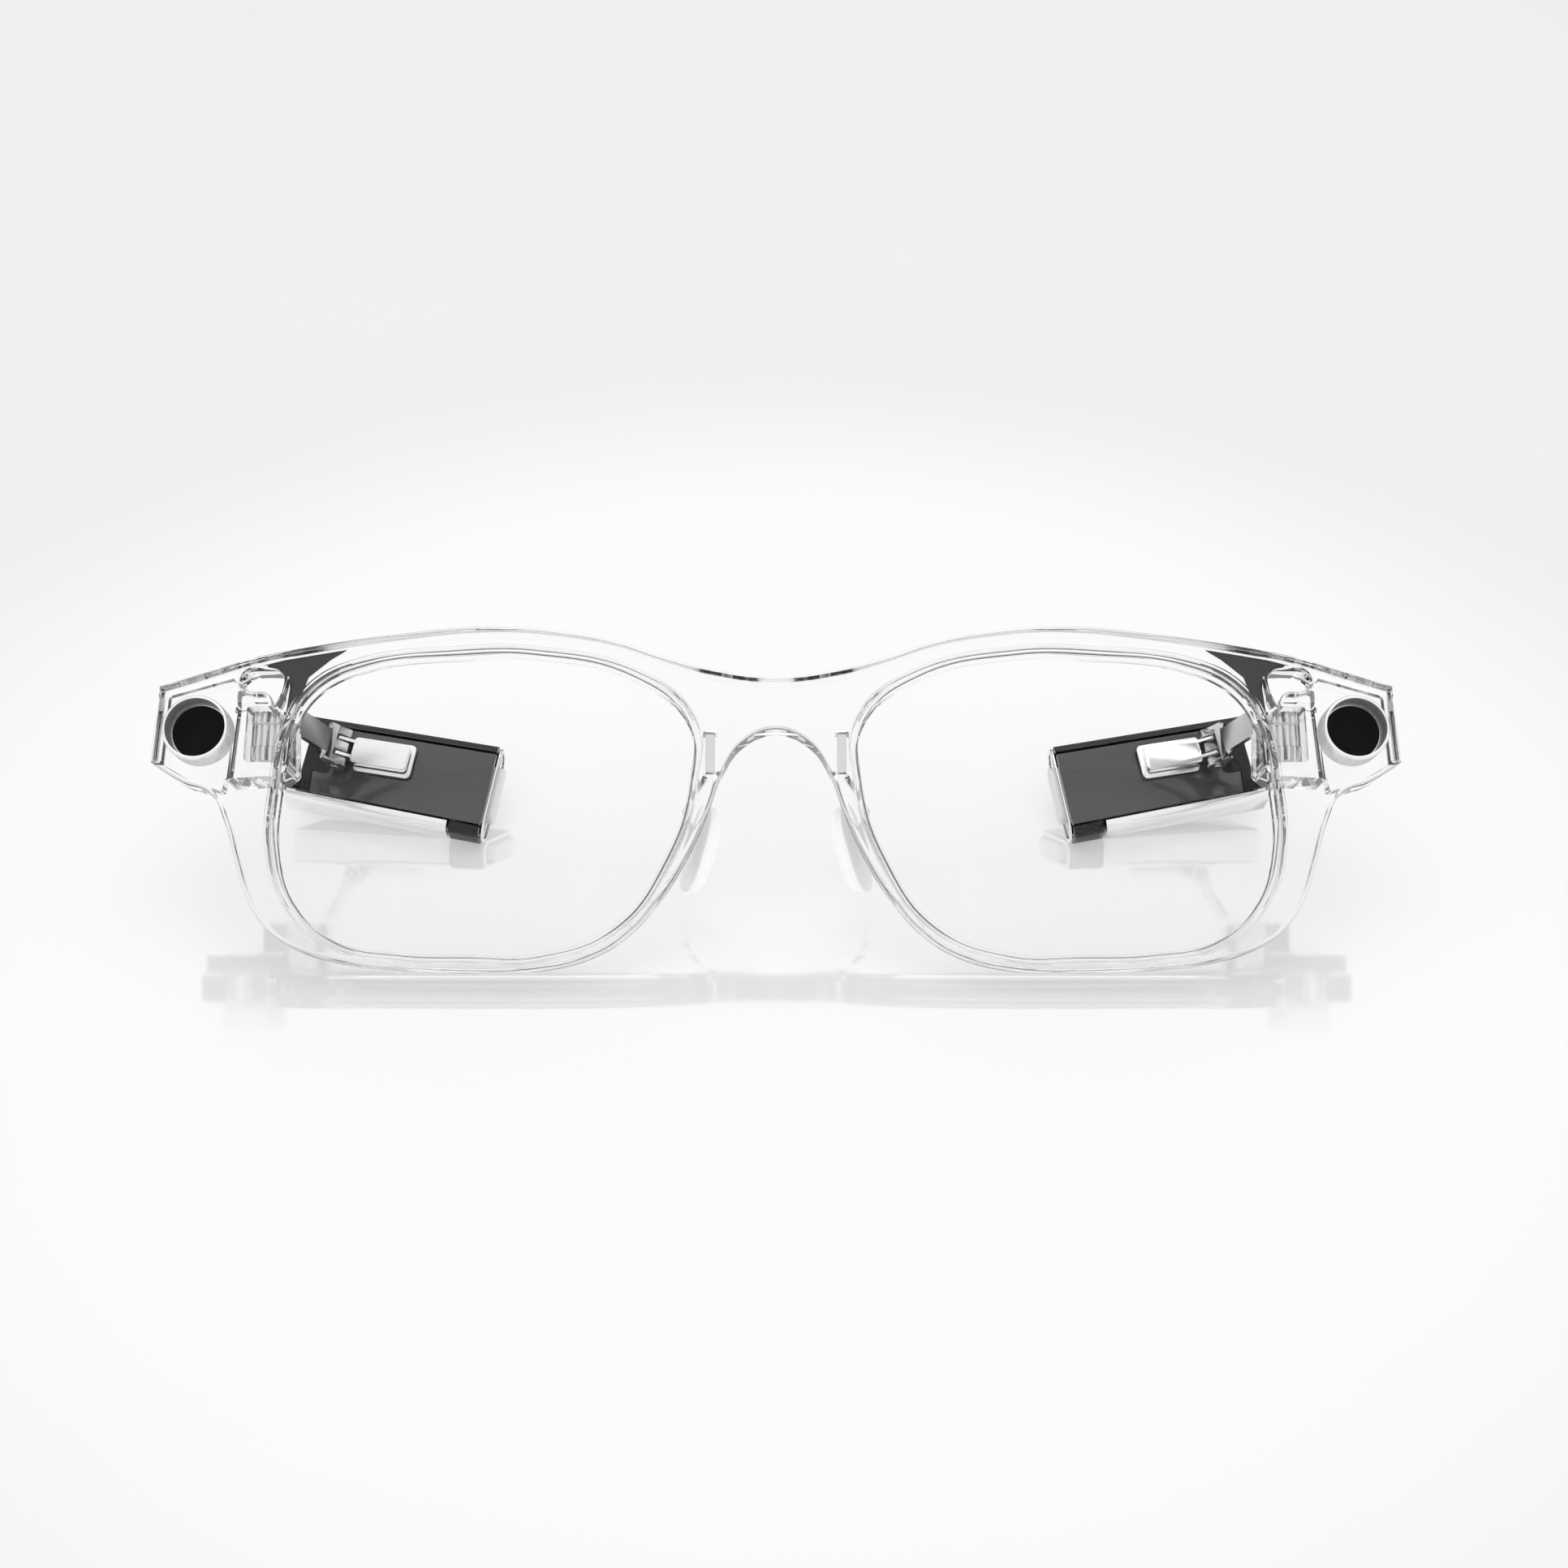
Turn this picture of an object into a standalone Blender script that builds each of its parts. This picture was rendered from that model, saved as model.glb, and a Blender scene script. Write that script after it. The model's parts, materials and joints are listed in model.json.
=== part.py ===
"""Clear smart glasses with short folding arms, knurled dials on the end blocks and silicone nose pads.

Every mesh is modelled in the front's own axes: x across, y behind the front face, z up the front.
The root empty then leans the whole front back, as the glasses rest on a table with the arms folded.
"""

import math

import bmesh
import bpy
from mathutils import Matrix, Vector

MM = 0.001
SIDES = {"left": -1, "right": 1}

# Resting pose: the front leans back, and its lowest back edge and the arm tips share the table.
LEAN = math.radians(50.0)
TABLE_DROP = 2.774 * MM
TO_MIDDLE = 22.0 * MM

# Front
FRONT_DEPTH = 4.0 * MM
FRONT_EDGE = 0.5 * MM
BLOCK_DEPTH = 6.5 * MM
LENS_DEPTH = 1.2 * MM
LENS_Y = 2.0 * MM
GROOVE_REACH = 0.7 * MM
GAP = 0.3 * MM

# Dial on each end block
DIAL_X = 68.8 * MM
DIAL_Z = 28.9 * MM
RING_R = 4.0 * MM
RING_BORE_R = 3.55 * MM
RING_TOP = -3.9 * MM
RING_FOOT = -0.3 * MM
RING_FLOOR = -1.0 * MM
RIDGES = 56
RIDGE_DEPTH = 0.06 * MM
WINDOW_R = 3.3 * MM
WINDOW_TOP = -1.65 * MM
HUB_R = 2.6 * MM
SPINDLE_R = 1.0 * MM
HUB_DEPTH = 3.4 * MM

# Arm, in its own axes: x along the arm, y away from the front, z along the hinge pin
PIVOT = Vector((56.0 * MM, 17.4 * MM, 31.9 * MM))
ARM_TILT = math.radians(10.0)
ARM_DROOP = math.radians(9.5)
ARM_START = -6.0 * MM
ARM_END = 20.2 * MM
ARM_FACE = 1.6 * MM
ARM_WALL = 0.7 * MM
ARM_CORNER = 1.2 * MM
STRIP_TOP = 1.25 * MM
STRIP_END = 15.4 * MM
END_RING_R = 1.85 * MM
END_RING_WALL = 0.55 * MM
INSERT_HALF_Z = 3.9 * MM
INSERT_MARGIN = 0.85 * MM
INSERT_DEPTH = 3.6 * MM
INSERT_PROUD = 0.7 * MM
INSERT_EDGE = 0.22 * MM
NOTCH_X = -1.0 * MM
NOTCH_Z = 3.0 * MM
NOTCH_Y = 4.3 * MM

# Hinge
PIN_R = 0.45 * MM
PIN_HALF = 2.7 * MM
BARREL_R = 1.25 * MM
BARREL_BORE = 0.75 * MM
STRAP_ROOT = Vector((-4.0 * MM, -6.2 * MM))
STRAP_HALF_Z = 1.6 * MM
STRAP_HALF_T = 0.4 * MM
SHOULDER = 2.2 * MM
FLARE_HALF_Z = 2.5 * MM
STRAP_BARRELS = {"top": (1.5, 2.5), "middle": (-0.6, 0.6), "bottom": (-2.5, -1.5)}
PLATE_FINGERS = {"upper": (0.85, 1.25), "lower": (-1.25, -0.85)}

# Nose pads
PAD_TOP = Vector((7.6 * MM, 6.6 * MM, 21.6 * MM))
PAD_BOTTOM = Vector((10.6 * MM, 9.2 * MM, 11.4 * MM))
PAD_WIDTH = 6.4 * MM
PAD_THICK = 2.6 * MM
PAD_BACK = 0.38
PAD_STANDOFF = 0.88 * MM


def clear_scene():
    for item in list(bpy.data.objects):
        bpy.data.objects.remove(item, do_unlink=True)


def material(name, colour, roughness, metallic=0.0, clear=0.0):
    made = bpy.data.materials.new(name)
    made.use_nodes = True
    shader = made.node_tree.nodes["Principled BSDF"]
    shader.inputs["Base Color"].default_value = (*colour, 1.0)
    shader.inputs["Roughness"].default_value = roughness
    shader.inputs["Metallic"].default_value = metallic
    shader.inputs["Transmission Weight"].default_value = clear
    return made


def empty(name, parent=None, location=(0, 0, 0)):
    made = bpy.data.objects.new(name, None)
    made.location = location
    made.parent = parent
    bpy.context.scene.collection.objects.link(made)
    return made


def add(name, mesh, finish=None, parent=None, location=(0, 0, 0)):
    """A visible node. Its mesh is made consistent, and smooth wherever its faces meet gently."""
    tidy_normals(mesh)
    mesh.shade_smooth()
    mesh.set_sharp_from_angle(angle=math.radians(35))
    made = bpy.data.objects.new(name, mesh)
    made.location = location
    made.parent = parent
    bpy.context.scene.collection.objects.link(made)
    if finish:
        mesh.materials.clear()
        mesh.materials.append(finish)
    return made


def tidy_normals(mesh):
    shape = bmesh.new()
    shape.from_mesh(mesh)
    bmesh.ops.recalc_face_normals(shape, faces=shape.faces)
    shape.to_mesh(mesh)
    shape.free()


def mirrored(mesh, side):
    """The mesh as modelled for the right side, or its mirror image for the left."""
    mesh.transform(Matrix.Diagonal((side, 1, 1, 1)))
    tidy_normals(mesh)
    return mesh


def cutter(name, mesh, parent=None, location=(0, 0, 0)):
    made = add(name, mesh, parent=parent, location=location)
    made.hide_render = True
    made.display_type = "WIRE"
    return made


def boolean(target, tool, operation="DIFFERENCE"):
    step = target.modifiers.new(tool.name, "BOOLEAN")
    step.operation = operation
    step.object = tool


def loft(name, rings):
    """A closed mesh through rings of equally many points, with a flat cap on each end."""
    count = len(rings[0])
    shape = bmesh.new()
    loops = [[shape.verts.new(point) for point in ring] for ring in rings]
    for low, high in zip(loops, loops[1:]):
        for i in range(count):
            j = (i + 1) % count
            shape.faces.new((low[i], low[j], high[j], high[i]))
    shape.faces.new(loops[0][::-1])
    shape.faces.new(loops[-1])
    mesh = bpy.data.meshes.new(name)
    bmesh.ops.recalc_face_normals(shape, faces=shape.faces)
    shape.to_mesh(mesh)
    shape.free()
    return mesh


def prism_x(name, outline, x0, x1):
    """An outline of (y, z) points drawn along x."""
    return loft(name, [[(x, y, z) for y, z in outline] for x in (x0, x1)])


def prism_y(name, outline, y0, y1):
    """An outline of (x, z) points drawn along y."""
    return loft(name, [[(x, y, z) for x, z in outline] for y in (y0, y1)])


def prism_z(name, outline, z0, z1):
    """An outline of (x, y) points drawn along z."""
    return loft(name, [[(x, y, z) for x, y in outline] for z in (z0, z1)])


def rounded(u0, u1, v0, v1, radius, steps=4):
    """A rectangle from (u0, v0) to (u1, v1) with round corners."""
    corners = [
        (u1 - radius, v1 - radius, 0),
        (u0 + radius, v1 - radius, 90),
        (u0 + radius, v0 + radius, 180),
        (u1 - radius, v0 + radius, 270),
    ]
    points = []
    for u, v, start in corners:
        for step in range(steps + 1):
            angle = math.radians(start + 90 * step / steps)
            points.append((u + radius * math.cos(angle), v + radius * math.sin(angle)))
    return points


def circle(radius, count=32, centre=(0.0, 0.0)):
    turns = [2 * math.pi * i / count for i in range(count)]
    return [(centre[0] + radius * math.cos(a), centre[1] + radius * math.sin(a)) for a in turns]


def turned(name, profile, count, ridge=0.0):
    """A closed profile of (radius, y) points turned about y.

    Every second one of its outermost points sits lower by ridge, which leaves ridges along the axis.
    """
    widest = max(radius for radius, y in profile)
    shape = bmesh.new()
    loops = []
    for radius, y in profile:
        loop = []
        for i in range(count):
            angle = 2 * math.pi * i / count
            r = radius - ridge if radius == widest and i % 2 else radius
            loop.append(shape.verts.new((r * math.cos(angle), y, r * math.sin(angle))))
        loops.append(loop)
    for low, high in zip(loops, loops[1:] + loops[:1]):
        for i in range(count):
            j = (i + 1) % count
            shape.faces.new((low[i], low[j], high[j], high[i]))
    mesh = bpy.data.meshes.new(name)
    bmesh.ops.recalc_face_normals(shape, faces=shape.faces)
    shape.to_mesh(mesh)
    shape.free()
    return mesh


# The outlines below are the right half in millimetres, as (x, z). A trailing True is a sharp corner.
TOP_EDGE = [
    (0, 36.4), (7.9, 37.4), (13.0, 38.8), (19.2, 40.9), (26.1, 42.2), (34.7, 42.8),
    (46.2, 41.8), (54.9, 40.5), (63.3, 38.8), (68.4, 37.2), (74.6, 35.2, True),
]
LOWER_EDGE = [
    (75.0, 25.7, True), (71.0, 23.2), (67.6, 21.8), (65.8, 18.6), (64.1, 13.4), (62.8, 9.7),
    (61.0, 6.6), (57.8, 3.8), (51.3, 1.7), (45.2, 0.9), (36.2, 0.5), (28.1, 0.7), (21.4, 2.4),
    (17.0, 5.3), (13.9, 9.0), (10.7, 14.2), (8.1, 20.2), (6.5, 24.6), (3.9, 28.3), (0, 29.8),
]
EYE = [
    (29.5, 39.2), (38.0, 39.2), (50.8, 37.5), (55.8, 34.7), (58.4, 30.2), (59.6, 22.0),
    (59.6, 15.5), (57.2, 8.6), (52.0, 4.1), (45.0, 2.7), (36.0, 2.4), (28.1, 2.5), (19.1, 5.9),
    (13.1, 14.3), (10.3, 23.5), (10.6, 30.8), (17.0, 36.3),
]
CORNER_WINDOW = [
    (64.9, 35.2), (64.7, 36.3), (61.2, 37.1), (59.8, 36.8), (59.6, 35.4), (60.5, 32.8, True),
    (61.5, 34.3), (63.6, 34.6),
]
BLOCK = [(65.4, 37.4), (74.2, 34.8), (74.6, 26.1), (70.6, 23.7), (66.8, 22.6)]
BOSS = [(59.0, 26.0), (60.6, 24.6), (66.8, 24.2), (66.2, 33.8), (62.0, 33.8), (59.4, 32.4)]


def flat_outline(name, loops, depth, edge, y_centre, reach=0.0):
    """A plate in the x-z plane from smooth closed loops, where inner loops become holes.

    edge rounds its rim, and reach grows the outline all round.
    """
    data = bpy.data.curves.new(name, "CURVE")
    data.dimensions = "2D"
    data.fill_mode = "BOTH"
    data.resolution_u = 4
    data.extrude = depth / 2 - edge
    data.bevel_depth = edge
    data.bevel_resolution = 1
    data.offset = reach - edge
    for loop in loops:
        spline = data.splines.new("BEZIER")
        spline.bezier_points.add(len(loop) - 1)
        spline.use_cyclic_u = True
        for point, (x, z, *sharp) in zip(spline.bezier_points, loop):
            point.co = (x * MM, z * MM, 0)
            kind = "VECTOR" if sharp else "AUTO"
            point.handle_left_type = kind
            point.handle_right_type = kind
    curve = bpy.data.objects.new(name, data)
    bpy.context.scene.collection.objects.link(curve)
    bpy.context.view_layer.update()
    evaluated = curve.evaluated_get(bpy.context.evaluated_depsgraph_get())
    mesh = bpy.data.meshes.new_from_object(evaluated)
    bpy.data.objects.remove(curve)
    upright = Matrix.Translation((0, y_centre, 0)) @ Matrix.Rotation(math.pi / 2, 4, "X")
    mesh.transform(upright)
    welded = bmesh.new()
    welded.from_mesh(mesh)
    bmesh.ops.remove_doubles(welded, verts=welded.verts, dist=0.00001)
    welded.to_mesh(mesh)
    welded.free()
    return mesh


def on_side(loop, side):
    """The half outline on the right, or on the left with its order kept consistent."""
    placed = [(x * side, z, *sharp) for x, z, *sharp in loop]
    return placed if side > 0 else placed[::-1]


def in_metres(outline, side):
    return [(x * MM * side, z * MM) for x, z in outline]


def front_frame(root, clear):
    right = TOP_EDGE + LOWER_EDGE
    left = [(-x, z, *sharp) for x, z, *sharp in reversed(right) if x]
    loops = [right + left]
    for side in SIDES.values():
        loops.append(on_side(EYE, side))
        loops.append(on_side(CORNER_WINDOW, side))
    plate = flat_outline("front_frame", loops, FRONT_DEPTH, FRONT_EDGE, FRONT_DEPTH / 2)
    front = add("front_frame", plate, clear, root)
    for label, side in SIDES.items():
        block = prism_y("block", in_metres(BLOCK, side), 0.4 * MM, BLOCK_DEPTH)
        boolean(front, cutter("block_" + label, block, root), "UNION")
        boss = prism_y("boss", in_metres(BOSS, side), 2.0 * MM, PIVOT.y - 7.2 * MM)
        boolean(front, cutter("boss_" + label, boss, root), "UNION")
        groove = flat_outline(
            "groove", [on_side(EYE, side)], LENS_DEPTH + 2 * GAP, 0.05 * MM, LENS_Y, GROOVE_REACH + GAP
        )
        boolean(front, cutter("groove_" + label, groove, root))
        hub = prism_y("hub", circle(HUB_R + GAP, 40), -1.0 * MM, HUB_DEPTH + GAP)
        place = (DIAL_X * side, 0, DIAL_Z)
        boolean(front, cutter("hub_pocket_" + label, hub, root, place))
        bracket = mirrored(bracket_mesh("bracket_pocket", GAP), side)
        boolean(front, cutter("bracket_pocket_" + label, bracket, root))
        anchor = mirrored(anchor_mesh("anchor_pocket", GAP), side)
        boolean(front, cutter("anchor_pocket_" + label, anchor, root))
    return front


def lenses(root, glass):
    for label, side in SIDES.items():
        shape = flat_outline(
            "lens", [on_side(EYE, side)], LENS_DEPTH, 0.05 * MM, LENS_Y, GROOVE_REACH
        )
        add("lens_" + label, shape, glass, root)


def bracket_mesh(name, grow=0.0):
    """The hinge's block in the clear boss. Grown, it is its own pocket, open at the back."""
    outline = rounded(
        59.6 * MM - grow, 63.0 * MM + grow, 26.6 * MM - grow, 33.0 * MM + grow, 0.5 * MM
    )
    back = PIVOT.y - 7.0 * MM
    return prism_y(name, outline, 4.4 * MM - grow, back + (5.0 * MM if grow else 0.0))


def anchor_mesh(name, grow=0.0):
    """The foot of a nose pad's arm, set in the frame from behind."""
    outline = rounded(
        7.4 * MM - grow, 8.5 * MM + grow, 24.6 * MM - grow, 29.4 * MM + grow, 0.3 * MM, 2
    )
    return prism_y(name, outline, 1.6 * MM - grow, 3.9 * MM + (2.0 * MM if grow else 0.0))


def dials(root, finishes):
    ring_profile = [
        (SPINDLE_R + GAP, RING_FOOT),
        (RING_R - 0.15 * MM, RING_FOOT),
        (RING_R, RING_FOOT - 0.15 * MM),
        (RING_R, RING_TOP + 0.2 * MM),
        (RING_R - 0.2 * MM, RING_TOP),
        (RING_BORE_R + 0.05 * MM, RING_TOP),
        (RING_BORE_R, RING_TOP + 0.1 * MM),
        (RING_BORE_R, RING_FLOOR),
        (SPINDLE_R + GAP, RING_FLOOR),
    ]
    for label, side in SIDES.items():
        place = (DIAL_X * side, 0, DIAL_Z)
        ring = turned("ring", ring_profile, 2 * RIDGES, RIDGE_DEPTH)
        add("dial_ring_" + label, ring, finishes["ring"], root, place)
        window = loft("window", [
            [(x, WINDOW_TOP, z) for x, z in circle(WINDOW_R - 0.08 * MM, 48)],
            [(x, WINDOW_TOP + 0.08 * MM, z) for x, z in circle(WINDOW_R, 48)],
            [(x, RING_FLOOR - GAP, z) for x, z in circle(WINDOW_R, 48)],
        ])
        add("dial_window_" + label, window, finishes["window"], root, place)
        hub = loft("hub", [
            [(x, RING_FLOOR + 0.05 * MM, z) for x, z in circle(SPINDLE_R)],
            [(x, 0.1 * MM, z) for x, z in circle(SPINDLE_R)],
            [(x, 0.1 * MM, z) for x, z in circle(HUB_R)],
            [(x, HUB_DEPTH, z) for x, z in circle(HUB_R)],
        ])
        add("dial_hub_" + label, hub, finishes["steel"], root, place)


def arm_bottom(x):
    return (-7.2 - 1.1 * (x - ARM_START) / (ARM_END - ARM_START)) * MM


def arm_top(x):
    return (5.0 - 0.3 * (x - ARM_START) / (ARM_END - ARM_START)) * MM


def arm_back(x):
    return ARM_FACE + (4.7 - 0.9 * (x - ARM_START) / (ARM_END - ARM_START)) * MM


def arc(centre, radius, start, end, steps=5):
    turns = [math.radians(start + (end - start) * i / steps) for i in range(steps + 1)]
    return [(centre[0] + radius * math.cos(a), centre[1] + radius * math.sin(a)) for a in turns]


def shell_section(x):
    """Outer wall and rounded top of the arm, as one open hook in (y, z)."""
    back, top, low = arm_back(x), arm_top(x), arm_bottom(x) + STRIP_TOP + GAP
    far = (back - ARM_CORNER, top - ARM_CORNER)
    near = (ARM_FACE + ARM_CORNER, top - ARM_CORNER)
    inner = ARM_CORNER - ARM_WALL
    outside = [(back, low)] + arc(far, ARM_CORNER, 0, 90) + arc(near, ARM_CORNER, 90, 180)
    inside = arc(near, inner, 180, 90) + arc(far, inner, 90, 0) + [(back - ARM_WALL, low)]
    return [(x, y, z) for y, z in outside + inside]


def gutter_section(x):
    """Rounded bottom of the arm, open above, in (y, z)."""
    back, low = arm_back(x), arm_bottom(x)
    high = low + STRIP_TOP
    far = (back - ARM_CORNER, low + ARM_CORNER)
    near = (ARM_FACE + ARM_CORNER, low + ARM_CORNER)
    inner = ARM_CORNER - ARM_WALL
    outside = [(ARM_FACE, high)] + arc(near, ARM_CORNER, 180, 270) + arc(far, ARM_CORNER, 270, 360)
    inside = arc(far, inner, 360, 270) + arc(near, inner, 270, 180) + [(ARM_FACE + ARM_WALL, high)]
    return [(x, y, z) for y, z in outside + [(back, high), (back - ARM_WALL, high)] + inside]


def panel_section(x):
    low = arm_bottom(x) + STRIP_TOP + GAP
    high = arm_top(x) - ARM_CORNER - GAP
    near, far = ARM_FACE, ARM_FACE + 0.6 * MM
    return [(x, near, low), (x, near, high), (x, far, high), (x, far, low)]


def end_ring_mesh(x0, x1):
    """The bright stadium-shaped rim round the open end of the arm."""
    shape = bmesh.new()
    low, high = arm_bottom(ARM_END), arm_top(ARM_END)
    back = arm_back(ARM_END)
    rings = []
    for x in (x0, x1):
        outer = rounded(ARM_FACE, back, low, high, END_RING_R, 5)
        inner = rounded(
            ARM_FACE + END_RING_WALL, back - END_RING_WALL,
            low + END_RING_WALL, high - END_RING_WALL, END_RING_R - END_RING_WALL, 5
        )
        rings.append([[shape.verts.new((x, y, z)) for y, z in loop] for loop in (outer, inner)])
    (out0, in0), (out1, in1) = rings
    count = len(out0)
    for i in range(count):
        j = (i + 1) % count
        shape.faces.new((out0[i], out0[j], out1[j], out1[i]))
        shape.faces.new((in0[j], in0[i], in1[i], in1[j]))
        shape.faces.new((in0[i], in0[j], out0[j], out0[i]))
        shape.faces.new((out1[i], out1[j], in1[j], in1[i]))
    mesh = bpy.data.meshes.new("end_ring")
    shape.to_mesh(mesh)
    shape.free()
    return mesh


def insert_mesh():
    """The plug in the end of the arm. It stands a little proud, with its outer edge eased."""
    middle = (arm_bottom(ARM_END) + arm_top(ARM_END)) / 2
    near = ARM_FACE + INSERT_MARGIN
    far = arm_back(ARM_END) - INSERT_MARGIN
    face = ARM_END + INSERT_PROUD
    levels = ((ARM_END - INSERT_DEPTH, 0.0), (face - INSERT_EDGE, 0.0), (face, INSERT_EDGE))
    rings = []
    for x, inset in levels:
        low, high = middle - INSERT_HALF_Z + inset, middle + INSERT_HALF_Z - inset
        section = rounded(near + inset, far - inset, low, high, 1.05 * MM - inset)
        rings.append([(x, y, z) for y, z in section])
    return loft("insert", rings)


def arm_skins(label, side, axis, finishes):
    tube_end = ARM_END - 0.6 * MM
    shell = mirrored(loft("shell", [shell_section(ARM_START), shell_section(tube_end)]), side)
    add("arm_shell_" + label, shell, finishes["dark"], axis)
    strip_ends = (ARM_START, STRIP_END)
    strip = mirrored(loft("strip", [gutter_section(x) for x in strip_ends]), side)
    add("arm_strip_" + label, strip, finishes["silver"], axis)
    tip_ends = (STRIP_END + GAP, tube_end)
    tip = mirrored(loft("tip", [gutter_section(x) for x in tip_ends]), side)
    add("arm_tip_" + label, tip, finishes["dark"], axis)
    panel = mirrored(loft("panel", [panel_section(ARM_START), panel_section(tube_end)]), side)
    front = add("arm_panel_" + label, panel, finishes["panel"], axis)
    notch = prism_x("notch", rounded(0, NOTCH_Y, -NOTCH_Z, NOTCH_Z, 0.6 * MM), -8 * MM, NOTCH_X)
    boolean(front, cutter("notch_" + label, mirrored(notch, side), axis))
    ring = mirrored(end_ring_mesh(tube_end + GAP, ARM_END), side)
    add("arm_end_ring_" + label, ring, finishes["silver"], axis)
    add("arm_insert_" + label, mirrored(insert_mesh(), side), finishes["white"], axis)


def arm_inside(label, side, axis, finishes):
    """Battery, circuit board and speaker in the hollow of the arm."""
    y0 = ARM_FACE + 0.9 * MM
    y1 = y0 + 1.6 * MM
    cell = prism_x("cell", rounded(y0, y1, -3.9 * MM, 3.0 * MM, 0.5 * MM), 2.2 * MM, 11.9 * MM)
    add("battery_" + label, mirrored(cell, side), finishes["battery"], axis)
    sheet = rounded(y1 + GAP, y1 + 0.7 * MM, -3.9 * MM, 3.0 * MM, 0.15 * MM, 1)
    board = prism_x("board", sheet, 2.2 * MM, 15.9 * MM)
    add("circuit_board_" + label, mirrored(board, side), finishes["board"], axis)
    driver = prism_x("driver", rounded(y0, y1, -3.6 * MM, 2.6 * MM, 0.6 * MM), 12.4 * MM, 15.9 * MM)
    add("speaker_" + label, mirrored(driver, side), finishes["steel"], axis)


def knuckle(name, z0, z1, towards):
    """One hinge barrel with a web that reaches from it to the (x, y) point towards."""
    reach = Vector(towards)
    across = Vector((-reach.y, reach.x)).normalized() * BARREL_R
    start = math.degrees(math.atan2(across.y, across.x))
    outline = arc((0, 0), BARREL_R, start, start + 180, 12)
    thin = across * 0.3
    outline += [tuple(reach - thin), tuple(reach + thin)]
    return prism_z(name, outline, z0, z1)


def hinge(label, side, axis, finishes):
    """Strap from the front, plate on the arm and the pin that joins their barrels."""
    root = STRAP_ROOT
    shoulder = root.normalized() * SHOULDER
    across = Vector((-root.y, root.x)).normalized() * STRAP_HALF_T
    outline = [root + across, root - across, shoulder - across, shoulder + across]
    strap_mesh = prism_z("strap", outline, -STRAP_HALF_Z, STRAP_HALF_Z)
    strap = add("hinge_strap_" + label, mirrored(strap_mesh, side), finishes["steel"], axis)
    corners = ((1.15, 0.9), (1.15, -0.9), (0.72, -1.6), (0.72, 1.6))
    widened = [shoulder * reach + across * width for reach, width in corners]
    flare = prism_z("flare", widened, -FLARE_HALF_Z, FLARE_HALF_Z)
    boolean(strap, cutter("flare_" + label, mirrored(flare, side), axis), "UNION")
    for level, (low, high) in STRAP_BARRELS.items():
        shape = mirrored(knuckle("barrel", low * MM, high * MM, shoulder * 0.85), side)
        boolean(strap, cutter("barrel_" + level + "_" + label, shape, axis), "UNION")
    bore = prism_z("bore", circle(BARREL_BORE), -4 * MM, 4 * MM)
    bore_cutter = cutter("pin_bore_" + label, mirrored(bore, side), axis)
    boolean(strap, bore_cutter)
    pin = loft("pin", [
        [(x, y, -PIN_HALF) for x, y in circle(PIN_R, 24)],
        [(x, y, PIN_HALF) for x, y in circle(PIN_R, 24)],
    ])
    add("hinge_pin_" + label, pin, finishes["steel"], axis)

    plate_outline = rounded(1.7 * MM, 8.9 * MM, -1.75 * MM, 1.75 * MM, 0.5 * MM)
    plate_mesh = prism_y("plate", plate_outline, -0.45 * MM, 0.5 * MM)
    plate = add("hinge_plate_" + label, mirrored(plate_mesh, side), finishes["silver"], axis)
    for level, (low, high) in PLATE_FINGERS.items():
        shape = mirrored(knuckle("finger", low * MM, high * MM, (2.4 * MM, 0.03 * MM)), side)
        boolean(plate, cutter("finger_" + level + "_" + label, shape, axis), "UNION")
    boolean(plate, bore_cutter)
    base_outline = rounded(1.9 * MM, 9.5 * MM, -2.35 * MM, 2.35 * MM, 0.7 * MM)
    base = prism_y("base", base_outline, 0.8 * MM, ARM_FACE - 0.25 * MM)
    add("hinge_base_" + label, mirrored(base, side), finishes["silver"], axis)


def arms(root, finishes):
    for label, side in SIDES.items():
        axis = empty("arm_axis_" + label, root, (PIVOT.x * side, PIVOT.y, PIVOT.z))
        axis.rotation_mode = "YXZ"
        axis.rotation_euler = (-ARM_TILT, -side * ARM_DROOP, 0)
        inward = -side
        arm_skins(label, inward, axis, finishes)
        arm_inside(label, inward, axis, finishes)
        hinge(label, inward, axis, finishes)


def brackets(root, steel):
    for label, side in SIDES.items():
        add("hinge_bracket_" + label, mirrored(bracket_mesh("bracket"), side), steel, root)


def pad_axes(side):
    """Middle of the pad, and its length, width and thickness directions."""
    top = Vector((PAD_TOP.x * side, PAD_TOP.y, PAD_TOP.z))
    bottom = Vector((PAD_BOTTOM.x * side, PAD_BOTTOM.y, PAD_BOTTOM.z))
    along = (top - bottom).normalized()
    facing = Vector((0.45 * side, 1, 0))
    across = (facing - along * along.dot(facing)).normalized()
    return (top + bottom) / 2, along, across, along.cross(across)


def pad_mesh(side):
    """A D-section oval with its middle, and the two points that the end of its arm joins behind it.

    The pad bulges towards the nose and is nearly flat towards the rim.
    """
    middle, along, across, out = pad_axes(side)
    if out.x * side > 0:
        out = -out
    half = (PAD_TOP - PAD_BOTTOM).length / 2
    rings = []
    levels = 14
    for level in range(1, levels):
        s = -math.cos(math.pi * level / levels)
        girth = (1 - abs(s) ** 2.6) ** (1 / 2.6)
        ring = []
        for i in range(24):
            angle = 2 * math.pi * i / 24
            w = math.cos(angle) * PAD_WIDTH / 2 * girth
            bulge = 1 - PAD_BACK if math.sin(angle) > 0 else PAD_BACK
            t = math.sin(angle) * PAD_THICK * bulge * girth
            ring.append(along * s * half + across * w + out * t)
        rings.append(ring)
    back = middle - out * (PAD_THICK * PAD_BACK + PAD_STANDOFF)
    return loft("pad", rings), middle, (back + along * 2.0 * MM, back - along * 2.4 * MM)


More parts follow.
